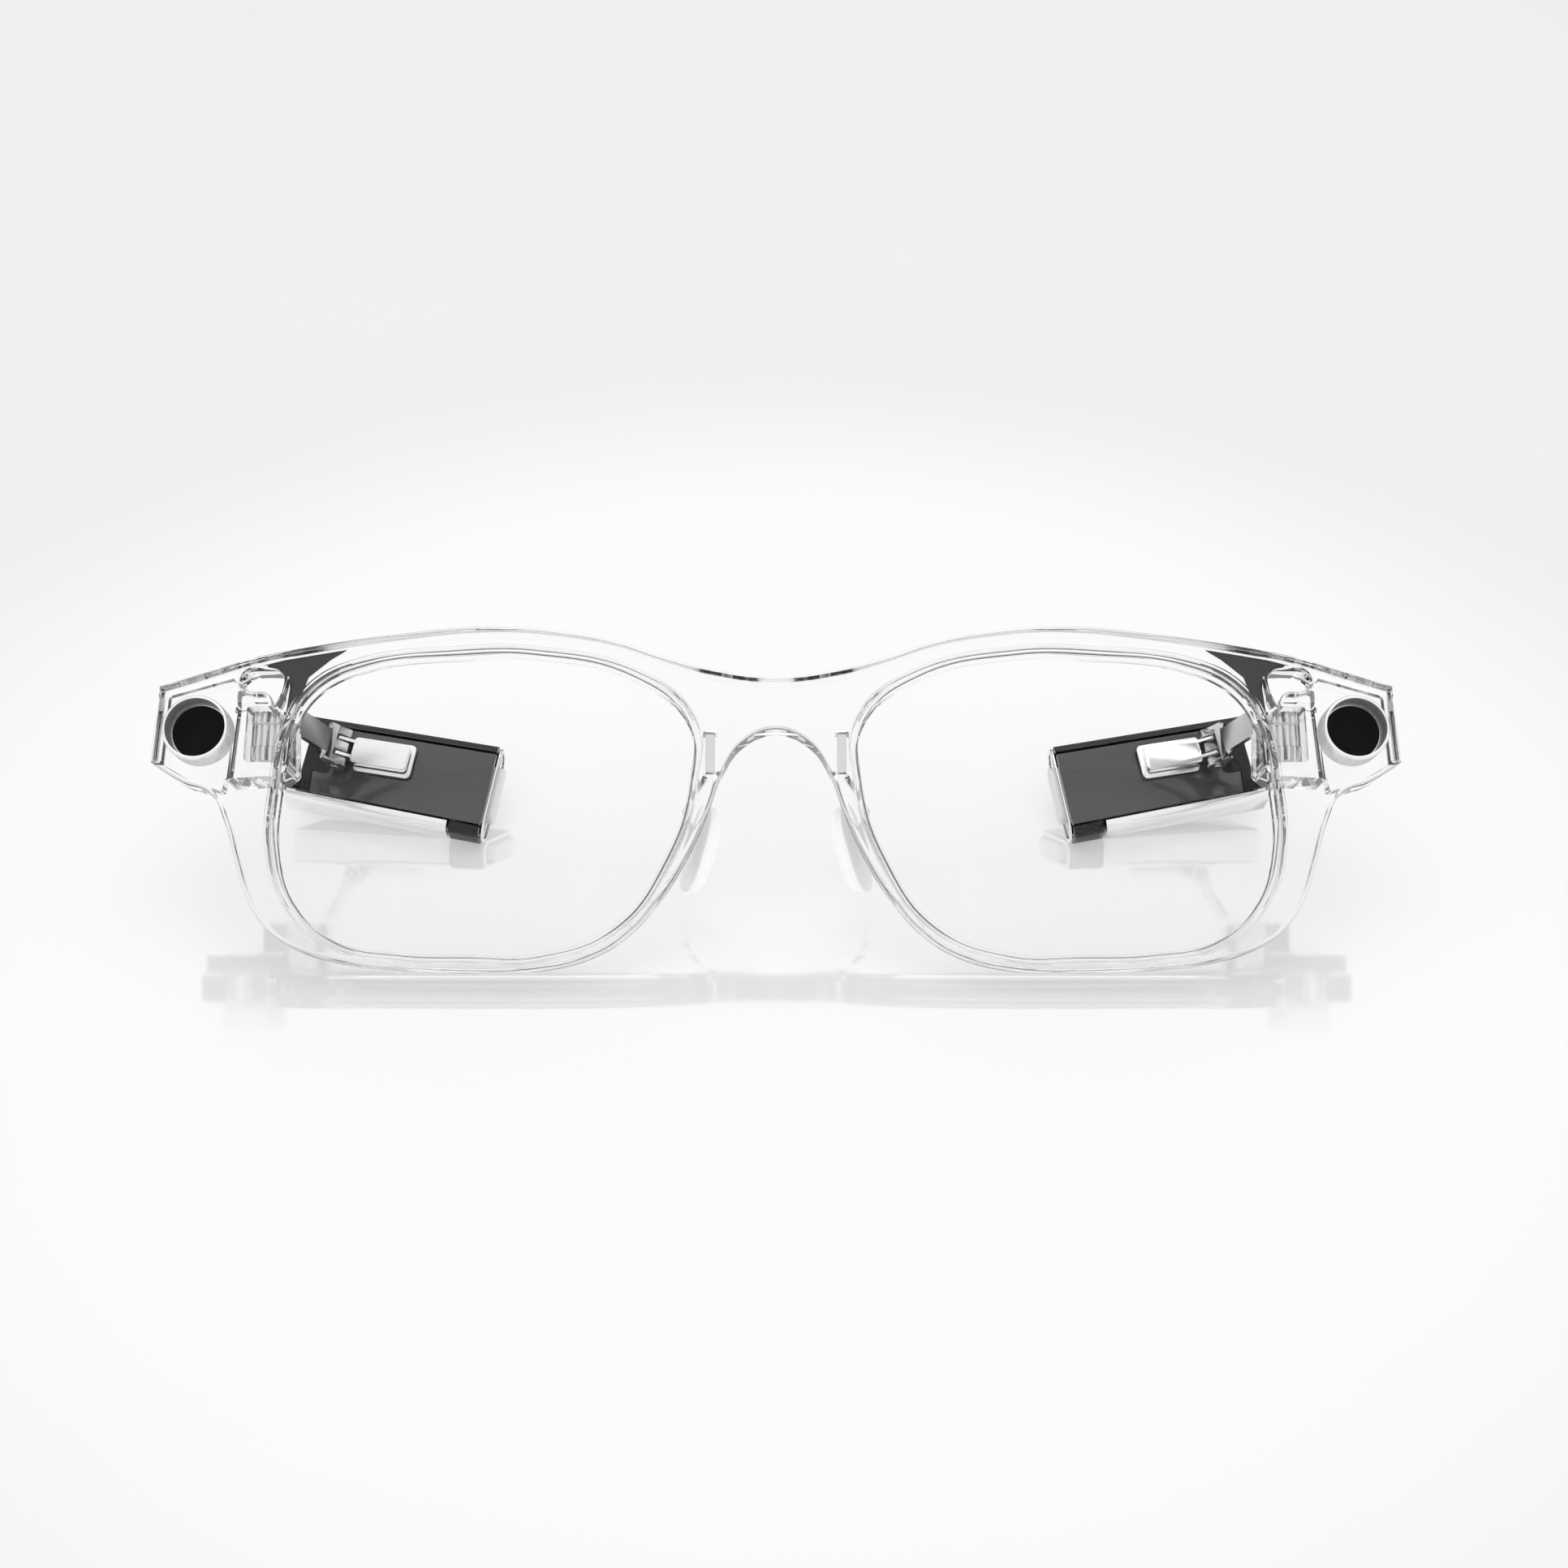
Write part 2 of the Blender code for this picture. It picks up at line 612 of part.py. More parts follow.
def nose_pads(root, finishes):
    for label, side in SIDES.items():
        mesh, middle, behind = pad_mesh(side)
        add("nose_pad_" + label, mesh, finishes["silicone"], root, middle)
        route = [
            Vector((8.0 * side, 3.4, 25.4)) * MM,
            Vector((8.7 * side, 4.9, 24.2)) * MM,
            Vector((11.2 * side, 6.6, 21.0)) * MM,
            *behind,
        ]
        strip = wire_strip("pad_arm", route, 1.1 * MM, 0.55 * MM, side)
        arm = add("nose_pad_arm_" + label, strip, finishes["steel"], root)
        foot = cutter("anchor_" + label, mirrored(anchor_mesh("anchor"), side), root)
        boolean(arm, foot, "UNION")


def wire_strip(name, route, width, thick, side):
    """A flat bent strip through the points of route."""
    rings = []
    for i, point in enumerate(route):
        ahead = route[min(i + 1, len(route) - 1)] - route[max(i - 1, 0)]
        ahead.normalize()
        flat = Vector((0, 1, 0)) - ahead * ahead.y
        flat.normalize()
        thin = ahead.cross(flat) * side
        corners = ((1, 1), (-1, 1), (-1, -1), (1, -1))
        rings.append([point + flat * a * width / 2 + thin * b * thick / 2 for a, b in corners])
    return loft(name, rings)


def finishes():
    return {
        "clear": material("clear plastic", (0.93, 0.94, 0.95), 0.03, clear=1.0),
        "lens": material("lens", (0.97, 0.98, 0.98), 0.01, clear=1.0),
        "ring": material("satin aluminium", (0.78, 0.78, 0.78), 0.32, 1.0),
        "window": material("black spun metal", (0.01, 0.01, 0.012), 0.28, 0.9),
        "steel": material("polished steel", (0.55, 0.55, 0.56), 0.16, 1.0),
        "silver": material("silver plating", (0.82, 0.82, 0.83), 0.2, 1.0),
        "dark": material("dark gloss shell", (0.05, 0.05, 0.053), 0.14, 0.4),
        "panel": material("grey gloss panel", (0.13, 0.13, 0.135), 0.12, 0.5),
        "white": material("white plastic", (0.86, 0.86, 0.86), 0.35),
        "silicone": material("milky silicone", (0.9, 0.9, 0.9), 0.4, clear=0.5),
        "battery": material("battery wrap", (0.2, 0.2, 0.22), 0.5),
        "board": material("circuit board", (0.03, 0.12, 0.06), 0.5),
    }


def build():
    clear_scene()
    looks = finishes()
    root = empty("glasses", None, (0, -TO_MIDDLE, TABLE_DROP))
    root.rotation_euler.x = -LEAN
    front_frame(root, looks["clear"])
    lenses(root, looks["lens"])
    brackets(root, looks["steel"])
    dials(root, looks)
    arms(root, looks)
    nose_pads(root, looks)


build()
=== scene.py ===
# %% [markdown]
# # Clear smart glasses on a pale studio table
#
# The solid model already knows where every part of the glasses sits and how it moves.
# This notebook loads those solids as a fixed frame and dresses them: it swaps plain solids for
# finer meshes where light would show the difference, and gives every part its own finish.
# Everything is in metres, in the same axes as the solids, so nothing has to be fitted by eye.

# %% Load the frame
import json
import math

import bmesh
import bpy
from mathutils import Matrix, Vector


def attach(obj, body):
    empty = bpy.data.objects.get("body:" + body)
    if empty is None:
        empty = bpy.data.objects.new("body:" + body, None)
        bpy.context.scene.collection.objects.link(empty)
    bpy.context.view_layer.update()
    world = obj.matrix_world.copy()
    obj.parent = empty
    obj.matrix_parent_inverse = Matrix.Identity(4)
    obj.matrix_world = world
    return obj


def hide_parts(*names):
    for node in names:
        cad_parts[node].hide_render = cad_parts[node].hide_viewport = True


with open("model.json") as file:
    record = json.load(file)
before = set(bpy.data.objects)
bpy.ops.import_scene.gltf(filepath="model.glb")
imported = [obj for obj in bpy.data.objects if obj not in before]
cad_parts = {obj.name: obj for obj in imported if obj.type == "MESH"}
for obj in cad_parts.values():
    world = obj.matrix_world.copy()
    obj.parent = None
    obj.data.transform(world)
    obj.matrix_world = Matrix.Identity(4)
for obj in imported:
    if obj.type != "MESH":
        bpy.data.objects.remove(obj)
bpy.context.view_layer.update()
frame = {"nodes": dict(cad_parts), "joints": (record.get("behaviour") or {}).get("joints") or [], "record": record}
MM = 0.001
SIDES = {"left": -1, "right": 1}

# %% [markdown]
# ## Working axes
#
# Glasses are drawn most easily in their own directions: across the face, up the front and
# along each arm. The joints of the model give those directions. A dial turns about the front's
# outward normal, and an arm folds about its hinge pin. Each set of axes below is a matrix that
# takes millimetres in the part's own directions to metres on the table.

# %% Axes of the front, the dials and the arms
DIAL_X = 68.8
DIAL_Z = 28.9
JOINTS = {joint["name"]: joint for joint in frame["joints"]}
MOUNTS = {mount["name"]: mount for mount in frame["record"]["mounts"]}


def axes(x, y, z, origin):
    turned = Matrix((x, y, z)).transposed().to_4x4()
    return Matrix.Translation(origin) @ turned @ Matrix.Scale(MM, 4)


outward = Vector(JOINTS["dial_turn_right"]["axis"])
outward *= 1 if outward.z > 0 else -1
ACROSS = Vector((1, 0, 0))
UP = outward.cross(ACROSS)
dial_centre = Vector(JOINTS["dial_turn_right"]["pos_m"])
FRONT = axes(ACROSS, -outward, UP, dial_centre - ACROSS * DIAL_X * MM - UP * DIAL_Z * MM)
DIAL = {
    label: axes(ACROSS, UP, outward, JOINTS["dial_turn_" + label]["pos_m"]) for label in SIDES
}
ARM = {}
for label in SIDES:
    pin = Vector(JOINTS["arm_fold_" + label]["axis"])
    pin *= 1 if pin.z > 0 else -1
    along = Vector(MOUNTS["arm_end_" + label]["axis"])
    away = pin.cross(along)
    away *= 1 if away.z < 0 else -1
    ARM[label] = axes(along, away, pin, JOINTS["arm_fold_" + label]["pos_m"])
print("the front leans back by", round(math.degrees(outward.angle(Vector((0, -1, 0)))), 1), "degrees")

# %% [markdown]
# ## The camera
#
# A product shot like this is taken with a slightly long lens from above the table, square to the
# glasses, so that both arms show through the lenses.

# %% Camera
CAMERA_PITCH = math.radians(36.0)
CAMERA_DISTANCE = 0.252
CAMERA_LENS = 48.45
AIM = FRONT @ Vector((0.97, 0, 22.9))

camera_data = bpy.data.cameras.new("camera")
camera_data.lens = CAMERA_LENS
camera_data.clip_start = 0.01
camera = bpy.data.objects.new("camera", camera_data)
camera.rotation_euler = (math.pi / 2 - CAMERA_PITCH, 0, 0)
sight = Vector((0, math.cos(CAMERA_PITCH), -math.sin(CAMERA_PITCH)))
camera.location = AIM - sight * CAMERA_DISTANCE
bpy.context.scene.collection.objects.link(camera)
bpy.context.scene.camera = camera
bpy.context.scene.view_settings.view_transform = "Standard"
print("camera at", [round(value, 4) for value in camera.location])

# %% [markdown]
# ## Light
#
# Clear plastic has no colour of its own. It shows only what it bends, so the room around it does
# the drawing. A real studio sets dark cards about a clear object for this. Here the room gives
# each kind of ray its own picture instead, which no real room does. Matte surfaces meet plain
# white, and mirrors meet white with a dark band low behind the glasses. Light that the plastic
# bends meets a dark room with bright windows above and in front, and the camera sees a pale wall.
# One softbox, above and a little behind, lifts the metal.

# %% The white room and its dark band
ROOM_WHITE = 0.98
DARK = 0.01
SEEN_WHITE = 0.92
BAND_LOW, BAND_HIGH = 0.3, 0.42
WINDOW_LOW, WINDOW_HIGH = 0.66, 0.74


def ramp(tree, socket, low, high):
    """0 below low and 1 above high, with a soft edge."""
    made = tree.nodes.new("ShaderNodeMapRange")
    made.interpolation_type = "SMOOTHSTEP"
    made.inputs["From Min"].default_value = low
    made.inputs["From Max"].default_value = high
    tree.links.new(socket, made.inputs["Value"])
    return made.outputs["Result"]


def sums(tree, operation, first, second):
    """One Math node, on sockets or numbers."""
    made = tree.nodes.new("ShaderNodeMath")
    made.operation = operation
    for i, value in enumerate((first, second)):
        if isinstance(value, float):
            made.inputs[i].default_value = value
        else:
            tree.links.new(value, made.inputs[i])
    return made.outputs[0]


def tones(tree, factor, first, second):
    """A grey or a socket at factor 0, and another at factor 1."""
    made = tree.nodes.new("ShaderNodeMix")
    made.data_type = "RGBA"
    tree.links.new(factor, made.inputs["Factor"])
    for i, value in ((6, first), (7, second)):
        if isinstance(value, float):
            made.inputs[i].default_value = (value, value, value, 1)
        else:
            tree.links.new(value, made.inputs[i])
    return made.outputs[2]


def room():
    world = bpy.data.worlds.new("room")
    world.use_nodes = True
    tree = world.node_tree
    tree.nodes.clear()
    place = tree.nodes.new("ShaderNodeTexCoord")
    parts = tree.nodes.new("ShaderNodeSeparateXYZ")
    tree.links.new(place.outputs["Generated"], parts.inputs[0])
    x, y, z = parts.outputs
    above_band = ramp(tree, z, BAND_LOW, BAND_HIGH)
    before_band = ramp(tree, y, 0.1, -0.1)
    lit = sums(tree, "MAXIMUM", above_band, before_band)
    sideways = sums(tree, "ABSOLUTE", x, 0.0)
    window = ramp(tree, z, WINDOW_LOW, WINDOW_HIGH)
    ahead = ramp(tree, y, -0.25, -0.35)
    central = ramp(tree, sideways, 0.5, 0.4)
    front_window = sums(tree, "MINIMUM", ahead, central)
    window = sums(tree, "MAXIMUM", window, front_window)
    path = tree.nodes.new("ShaderNodeLightPath")
    reflected = tones(tree, lit, DARK, ROOM_WHITE)
    bent = tones(tree, window, DARK, ROOM_WHITE)
    shown = tones(tree, path.outputs["Is Transmission Ray"], reflected, bent)
    shown = tones(tree, path.outputs["Is Diffuse Ray"], shown, ROOM_WHITE)
    shown = tones(tree, path.outputs["Is Camera Ray"], shown, SEEN_WHITE)
    background = tree.nodes.new("ShaderNodeBackground")
    tree.links.new(shown, background.inputs["Color"])
    output = tree.nodes.new("ShaderNodeOutputWorld")
    tree.links.new(background.outputs[0], output.inputs[0])
    return world


bpy.context.scene.world = room()

# %% Softbox, above and a little behind
SOFTBOX_LONG = 0.5
SOFTBOX_DEEP = 0.2
SOFTBOX_POWER = 0.35
SOFTBOX_PLACE = Vector((0, 0.14, 0.6))

softbox_data = bpy.data.lights.new("softbox", "AREA")
softbox_data.shape = "RECTANGLE"
softbox_data.size = SOFTBOX_LONG
softbox_data.size_y = SOFTBOX_DEEP
softbox_data.energy = SOFTBOX_POWER
softbox = bpy.data.objects.new("softbox", softbox_data)
softbox.location = SOFTBOX_PLACE
softbox.rotation_euler = (-SOFTBOX_PLACE).to_track_quat("-Z", "Y").to_euler()
bpy.context.scene.collection.objects.link(softbox)
print("softbox power:", SOFTBOX_POWER, "W")

# %% [markdown]
# ## Shader maths in plain Python
#
# A finish changes a little from place to place: it is glossier here, scratched there. Such
# patterns are sums and products of texture values. The small class below wraps one socket of a
# node tree, so that `1 - mask * 0.3` adds the Math nodes by itself.

# %% A socket that can be added, subtracted and multiplied


class Value:
    """A number that changes over a surface."""

    def __init__(self, finish, socket):
        self.finish = finish
        self.socket = socket

    def sum(self, operation, *values):
        made = self.finish.node("ShaderNodeMath", {"operation": operation}, dict(enumerate(values)))
        return Value(self.finish, made.outputs[0])

    def __add__(self, other):
        return self.sum("ADD", self, other)

    def __sub__(self, other):
        return self.sum("SUBTRACT", self, other)

    def __rsub__(self, other):
        return self.sum("SUBTRACT", other, self)

    def __mul__(self, other):
        return self.sum("MULTIPLY", self, other)

    def __gt__(self, other):
        return self.sum("GREATER_THAN", self, other)

    def __lt__(self, other):
        return self.sum("LESS_THAN", self, other)

    __radd__ = __add__
    __rmul__ = __mul__

    def sine(self):
        return self.sum("SINE", self)

    def root(self):
        return self.sum("SQRT", self)

    def size(self):
        return self.sum("ABSOLUTE", self)


# %% A finish: one material with its principled shader


class Finish:
    """A material, whose unchanging numbers are set on the shader itself."""

    def __init__(self, name, colour, roughness, **fixed):
        self.material = bpy.data.materials.new(name)
        self.material.use_nodes = True
        self.tree = self.material.node_tree
        self.shader = self.tree.nodes["Principled BSDF"]
        self.colour = (*colour, 1.0)
        self.shader.inputs["Base Color"].default_value = self.colour
        self.shader.inputs["Roughness"].default_value = roughness
        for key, number in fixed.items():
            self.shader.inputs[key.replace("_", " ").title().replace("Ior", "IOR")].default_value = number

    def node(self, kind, settings=None, values=None):
        """Any node: its settings first, then the values or links of its sockets."""
        made = self.tree.nodes.new(kind)
        for key, setting in (settings or {}).items():
            setattr(made, key, setting)
        for key, value in (values or {}).items():
            if isinstance(value, Value):
                value = value.socket
            if isinstance(value, bpy.types.NodeSocket):
                self.tree.links.new(value, made.inputs[key])
            else:
                made.inputs[key].default_value = value
        return made

    def place(self):
        """The piece's own millimetres, stored on its mesh."""
        return self.node("ShaderNodeAttribute", {"attribute_name": "place"}).outputs["Vector"]

    def table_place(self):
        """Millimetres on the table, for a solid that carries no place of its own."""
        where = self.node("ShaderNodeTexCoord").outputs["Object"]
        scale = {"vector_type": "POINT"}
        larger = (1 / MM, 1 / MM, 1 / MM)
        return self.node("ShaderNodeMapping", scale, {"Vector": where, "Scale": larger}).outputs[0]

    def parts(self, where):
        split = self.node("ShaderNodeSeparateXYZ", values={0: where})
        return [Value(self, split.outputs[i]) for i in range(3)]

    def noise(self, where, scale, detail=3.0):
        values = {"Vector": where, "Scale": scale, "Detail": detail}
        return Value(self, self.node("ShaderNodeTexNoise", values=values).outputs[0])

    def stretched(self, where, scale):
        return self.node("ShaderNodeMapping", values={"Vector": where, "Scale": scale}).outputs[0]

    def feed(self, name, value):
        self.tree.links.new(value.socket if isinstance(value, Value) else value, self.shader.inputs[name])

    def blend(self, mask, low, high):
        """A colour that goes from low to high with the mask."""
        mix = self.node("ShaderNodeMix", {"data_type": "RGBA"}, {0: mask, 6: low, 7: high})
        return mix.outputs[2]

    def bump(self, height, strength, distance):
        values = {"Height": height, "Strength": strength, "Distance": distance}
        self.feed("Normal", self.node("ShaderNodeBump", values=values).outputs[0])


def grey(tone):
    return (tone, tone, tone, 1.0)


# %% [markdown]
# ## Finishes
#
# Each finish below names one real surface. Their small changes are in millimetres: moulded
# plastic waves over a few millimetres, brushed metal over hundredths of one.

# %% Clear plastic and lens
FRONT_IOR = 1.49
LENS_IOR = 1.08


def clear_plastic():
    finish = Finish(
        "clear moulded plastic", (0.985, 0.99, 0.99), 0.01, transmission_weight=1.0, ior=FRONT_IOR
    )
    where = finish.place()
    flow = finish.noise(where, 0.12, 1.0)
    haze = finish.noise(where, 1.6, 4.0)
    finish.feed("Roughness", 0.004 + haze * 0.012)
    finish.bump(flow, 0.25, 0.05 * MM)
    return finish.material


def lens_clear():
    """A coated lens reflects almost nothing, so its index is set low."""
    finish = Finish(
        "clear lens", (0.995, 0.998, 0.998), 0.0, transmission_weight=1.0, ior=LENS_IOR
    )
    smears = finish.noise(finish.stretched(finish.place(), (0.1, 1.0, 0.25)), 1.5, 3.0)
    finish.feed("Roughness", smears * 0.006)
    return finish.material


# %% Metals
BORE_R = 3.57


def satin_aluminium():
    finish = Finish("satin aluminium", (0.78, 0.78, 0.785), 0.3, metallic=1.0)
    where = finish.place()
    blast = finish.noise(where, 9.0, 3.0)
    x, y, _ = finish.parts(where)
    bore = (x * x + y * y).root() < BORE_R
    flank = finish.blend(blast, grey(0.86), grey(0.97))
    finish.feed("Base Color", finish.blend(bore, flank, grey(0.93)))
    finish.feed("Roughness", 0.25 + blast * 0.14 + bore * 0.15)
    finish.bump(blast, 0.25, 0.01 * MM)
    return finish.material


def black_spun_metal():
    finish = Finish("black spun metal", (0.02, 0.02, 0.021), 0.24, metallic=1.0)
    x, y, _ = finish.parts(finish.place())
    radius = (x * x + y * y).root()
    grooves = (radius * 95.0).sine() + (radius * 41.0).sine() * 0.5
    tone = finish.noise(finish.node("ShaderNodeCombineXYZ", values={0: radius}).outputs[0], 3.0)
    finish.feed("Base Color", finish.blend(tone, grey(0.004), grey(0.014)))
    finish.feed("Roughness", 0.2 + tone * 0.1)
    finish.bump(grooves, 0.6, 0.006 * MM)
    return finish.material


def polished_steel():
    finish = Finish("polished steel", (0.73, 0.73, 0.735), 0.16, metallic=1.0)
    where = finish.place()
    lines = finish.noise(finish.stretched(where, (0.6, 9.0, 9.0)), 2.0, 4.0)
    finish.feed("Base Color", finish.blend(lines, grey(0.66), grey(0.8)))
    finish.feed("Roughness", 0.1 + lines * 0.12)
    finish.bump(lines, 0.12, 0.006 * MM)
    return finish.material


def silver_plating():
    finish = Finish("silver plating", (0.9, 0.9, 0.905), 0.2, metallic=1.0)
    where = finish.place()
    lines = finish.noise(finish.stretched(where, (0.4, 6.0, 6.0)), 2.5, 4.0)
    finish.feed("Base Color", finish.blend(lines, grey(0.84), grey(0.95)))
    finish.feed("Roughness", 0.16 + lines * 0.12)
    finish.bump(lines, 0.1, 0.006 * MM)
    return finish.material


# %% Arm plastics


def dark_gloss():
    finish = Finish("dark gloss shell", (0.01, 0.01, 0.01), 0.1, specular_ior_level=0.35)
    where = finish.place()
    skin = finish.noise(where, 1.4, 4.0)
    finish.feed("Base Color", finish.blend(skin, grey(0.006), grey(0.014)))
    finish.feed("Roughness", 0.06 + skin * 0.1)
    finish.bump(skin, 0.08, 0.02 * MM)
    return finish.material


def grey_panel():
    finish = Finish("grey gloss panel", (0.1, 0.1, 0.102), 0.12, coat_weight=0.5, coat_roughness=0.04)
    where = finish.place()
    skin = finish.noise(where, 1.1, 4.0)
    finish.feed("Base Color", finish.blend(skin, grey(0.058), grey(0.074)))
    finish.feed("Roughness", 0.1 + skin * 0.08)
    finish.bump(skin, 0.06, 0.02 * MM)
    return finish.material


def white_plastic():
    finish = Finish("white plastic", (0.86, 0.86, 0.86), 0.3)
    where = finish.place()
    grain = finish.noise(where, 7.0, 4.0)
    finish.feed("Base Color", finish.blend(grain, grey(0.92), grey(0.98)))
    finish.feed("Roughness", 0.25 + grain * 0.2)
    finish.bump(grain, 0.2, 0.01 * MM)
    return finish.material


# %% Silicone of the nose pads


def milky_silicone():
    """The faint glow stands for light that scatters through the soft pad from behind."""
    finish = Finish(
        "milky silicone", (0.93, 0.93, 0.93), 0.3,
        transmission_weight=0.05, ior=1.41, subsurface_weight=0.3, subsurface_scale=0.003,
        subsurface_radius=(1.0, 1.0, 1.0), emission_color=grey(1.0), emission_strength=0.16,
    )
    where = finish.place()
    cloud = finish.noise(where, 0.5, 3.0)
    bloom = finish.noise(where, 6.0, 3.0)
    finish.feed("Base Color", finish.blend(cloud, grey(0.93), grey(0.98)))
    finish.feed("Roughness", 0.26 + bloom * 0.16)
    finish.bump(bloom, 0.15, 0.02 * MM)
    return finish.material


# %% Parts inside the arm


def battery_wrap():
    finish = Finish("battery wrap", (0.2, 0.2, 0.22), 0.45, metallic=0.6)
    where = finish.table_place()
    creases = finish.noise(finish.stretched(where, (0.5, 2.0, 2.0)), 1.2, 5.0)
    finish.feed("Base Color", finish.blend(creases, grey(0.16), grey(0.3)))
    finish.feed("Roughness", 0.3 + creases * 0.3)
    finish.bump(creases, 0.4, 0.05 * MM)
    return finish.material


def circuit_green():
    finish = Finish("circuit board", (0.03, 0.12, 0.06), 0.4)
    where = finish.table_place()
    x, y, z = finish.parts(where)
    tracks = ((x * 7.0).sine() * (z * 7.0 + y * 4.0).sine()).size() > 0.72
    weave = finish.noise(where, 5.0, 3.0)
    finish.feed("Base Color", finish.blend(tracks, (0.02, 0.09, 0.045, 1), (0.55, 0.4, 0.16, 1)))
    finish.feed("Metallic", tracks * 0.9)
    finish.feed("Roughness", 0.3 + weave * 0.25)
    finish.bump(tracks + weave * 0.2, 0.3, 0.03 * MM)
    return finish.material


# %% One dictionary of finishes, by the record's slots
FINISHES = {
    "clear_plastic": clear_plastic(),
    "lens_clear": lens_clear(),
    "satin_aluminium": satin_aluminium(),
    "black_spun_metal": black_spun_metal(),
    "polished_steel": polished_steel(),
    "silver_plating": silver_plating(),
    "dark_gloss": dark_gloss(),
    "grey_panel": grey_panel(),
    "white_plastic": white_plastic(),
    "milky_silicone": milky_silicone(),
    "battery_wrap": battery_wrap(),
    "circuit_green": circuit_green(),
}
print("finishes:", len(FINISHES))

# %% [markdown]
# ## The table
#
# The table is white with a thin gloss over it, so it mirrors the arm tips softly. A wide sheet
# is enough, because the pale room meets it far away.

# %% Table sheet
TABLE_HALF = 3.0
TABLE_TONE = 0.43
TABLE_GLOW = 0.42
# The brighter glow near the glasses is a painted pool of light on the table.
TABLE_GLOW_NEAR_PAINTED_POOL = 0.53
# One distance range, full near the glasses, sets both the real gloss and the painted pool of light.
GLOSS_AND_POOL_NEAR, GLOSS_AND_POOL_FAR = 0.08, 0.15


def table_finish():
    """Half of the white is a faint glow, as if lit from below. Near the middle the glow is brighter, a painted
    pool of light, and the gloss fades away from the middle.
    """
    finish = Finish(
        "table gloss", grey(TABLE_TONE)[:3], 0.5, specular_ior_level=0.0,
        coat_roughness=0.08, coat_ior=2.6, emission_strength=1.0,
    )
    where = finish.node("ShaderNodeTexCoord").outputs["Object"]
    patches = finish.noise(where, 14.0, 3.0)
    x, y, _ = finish.parts(where)
    distance = (x * x + y * y).root()
    ranges = {"Value": distance, "From Min": GLOSS_AND_POOL_FAR, "From Max": GLOSS_AND_POOL_NEAR}
    near = finish.node("ShaderNodeMapRange", {"interpolation_type": "SMOOTHSTEP"}, ranges)
    near = near.outputs["Result"]
    finish.feed("Coat Weight", near)
    # Painted pool of light: the glow is brighter near the middle of the table.
    finish.feed("Emission Color", finish.blend(near, grey(TABLE_GLOW), grey(TABLE_GLOW_NEAR_PAINTED_POOL)))
    finish.feed("Base Color", finish.blend(patches, grey(TABLE_TONE - 0.01), grey(TABLE_TONE + 0.01)))
    return finish.material


def table():
    sheet = bmesh.new()
    bmesh.ops.create_grid(sheet, x_segments=8, y_segments=8, size=TABLE_HALF)
    mesh = bpy.data.meshes.new("table")
    sheet.to_mesh(mesh)
    sheet.free()
    mesh.materials.append(table_finish())
    made = bpy.data.objects.new("table", mesh)
    bpy.context.scene.collection.objects.link(made)
    return made


table()

# %% [markdown]
# ## Mesh tools
#
# Four small tools make most of the shapes: a skin through rings of points, a round-cornered
# section, an edge softener and a finisher. The softener matters most. No real edge is sharp, and
# the thin highlight along a rounded edge is what tells metal from cardboard.

# %% A skin through rings of points


def skin(name, rings, cap=True):
    """A mesh through rings of equally many points, with a cap on each end."""
    count = len(rings[0])
    shape = bmesh.new()
    loops = [[shape.verts.new(point) for point in ring] for ring in rings]
    pairs = list(zip(loops, loops[1:])) + ([] if cap else [(loops[-1], loops[0])])
    for low, high in pairs:
        for i in range(count):
            j = (i + 1) % count
            shape.faces.new((low[i], low[j], high[j], high[i]))
    if cap:
        shape.faces.new(loops[0][::-1])
        shape.faces.new(loops[-1])
    mesh = bpy.data.meshes.new(name)
    bmesh.ops.recalc_face_normals(shape, faces=shape.faces)
    shape.to_mesh(mesh)
    shape.free()
    return mesh


def turned(name, profile, count):
    """A closed profile of (radius, height) points turned about z. A radius of 0 closes a pole."""
    turns = [2 * math.pi * i / count for i in range(count)]
    rings = [[(r * math.cos(a), r * math.sin(a), h) for a in turns] for r, h in profile]
    mesh = skin(name, rings, cap=False)
    merge(mesh)
    return mesh


def merge(mesh, distance=0.0005):
    """Doubles become one point, and faces point outwards."""
    shape = bmesh.new()
    shape.from_mesh(mesh)
    bmesh.ops.remove_doubles(shape, verts=shape.verts, dist=distance)
    bmesh.ops.dissolve_degenerate(shape, edges=shape.edges, dist=distance / 10)
    bmesh.ops.recalc_face_normals(shape, faces=shape.faces)
    shape.to_mesh(mesh)
    shape.free()


# %% Sections with round corners


def arc(centre, radius, start, end, steps=10):
    turns = [math.radians(start + (end - start) * i / steps) for i in range(steps + 1)]
    return [(centre[0] + radius * math.cos(a), centre[1] + radius * math.sin(a)) for a in turns]


def rounded(u0, u1, v0, v1, radius, steps=10):
    """A rectangle from (u0, v0) to (u1, v1) with round corners."""
    return (
        arc((u1 - radius, v1 - radius), radius, 0, 90, steps)
        + arc((u0 + radius, v1 - radius), radius, 90, 180, steps)
        + arc((u0 + radius, v0 + radius), radius, 180, 270, steps)
        + arc((u1 - radius, v0 + radius), radius, 270, 360, steps)
    )


# %% Softened edges
SHARP = math.radians(35)


def evaluated(name, mesh, add_modifiers):
    """The mesh after the modifiers that add_modifiers puts on a passing object."""
    passing = bpy.data.objects.new(name, mesh)
    bpy.context.scene.collection.objects.link(passing)
    add_modifiers(passing)
    graph = bpy.context.evaluated_depsgraph_get()
    made = bpy.data.meshes.new_from_object(passing.evaluated_get(graph))
    bpy.data.objects.remove(passing)
    made.name = name
    return made


def soften(mesh, width, segments=3):
    """Edges rounded by width, with flat faces kept flat in shading."""

    def modifiers(passing):
        bevel = passing.modifiers.new("edges", "BEVEL")
        bevel.width = width
        bevel.segments = segments
        bevel.limit_method = "ANGLE"
        bevel.angle_limit = SHARP
        bevel.use_clamp_overlap = True

    return evaluated(mesh.name, mesh, modifiers)


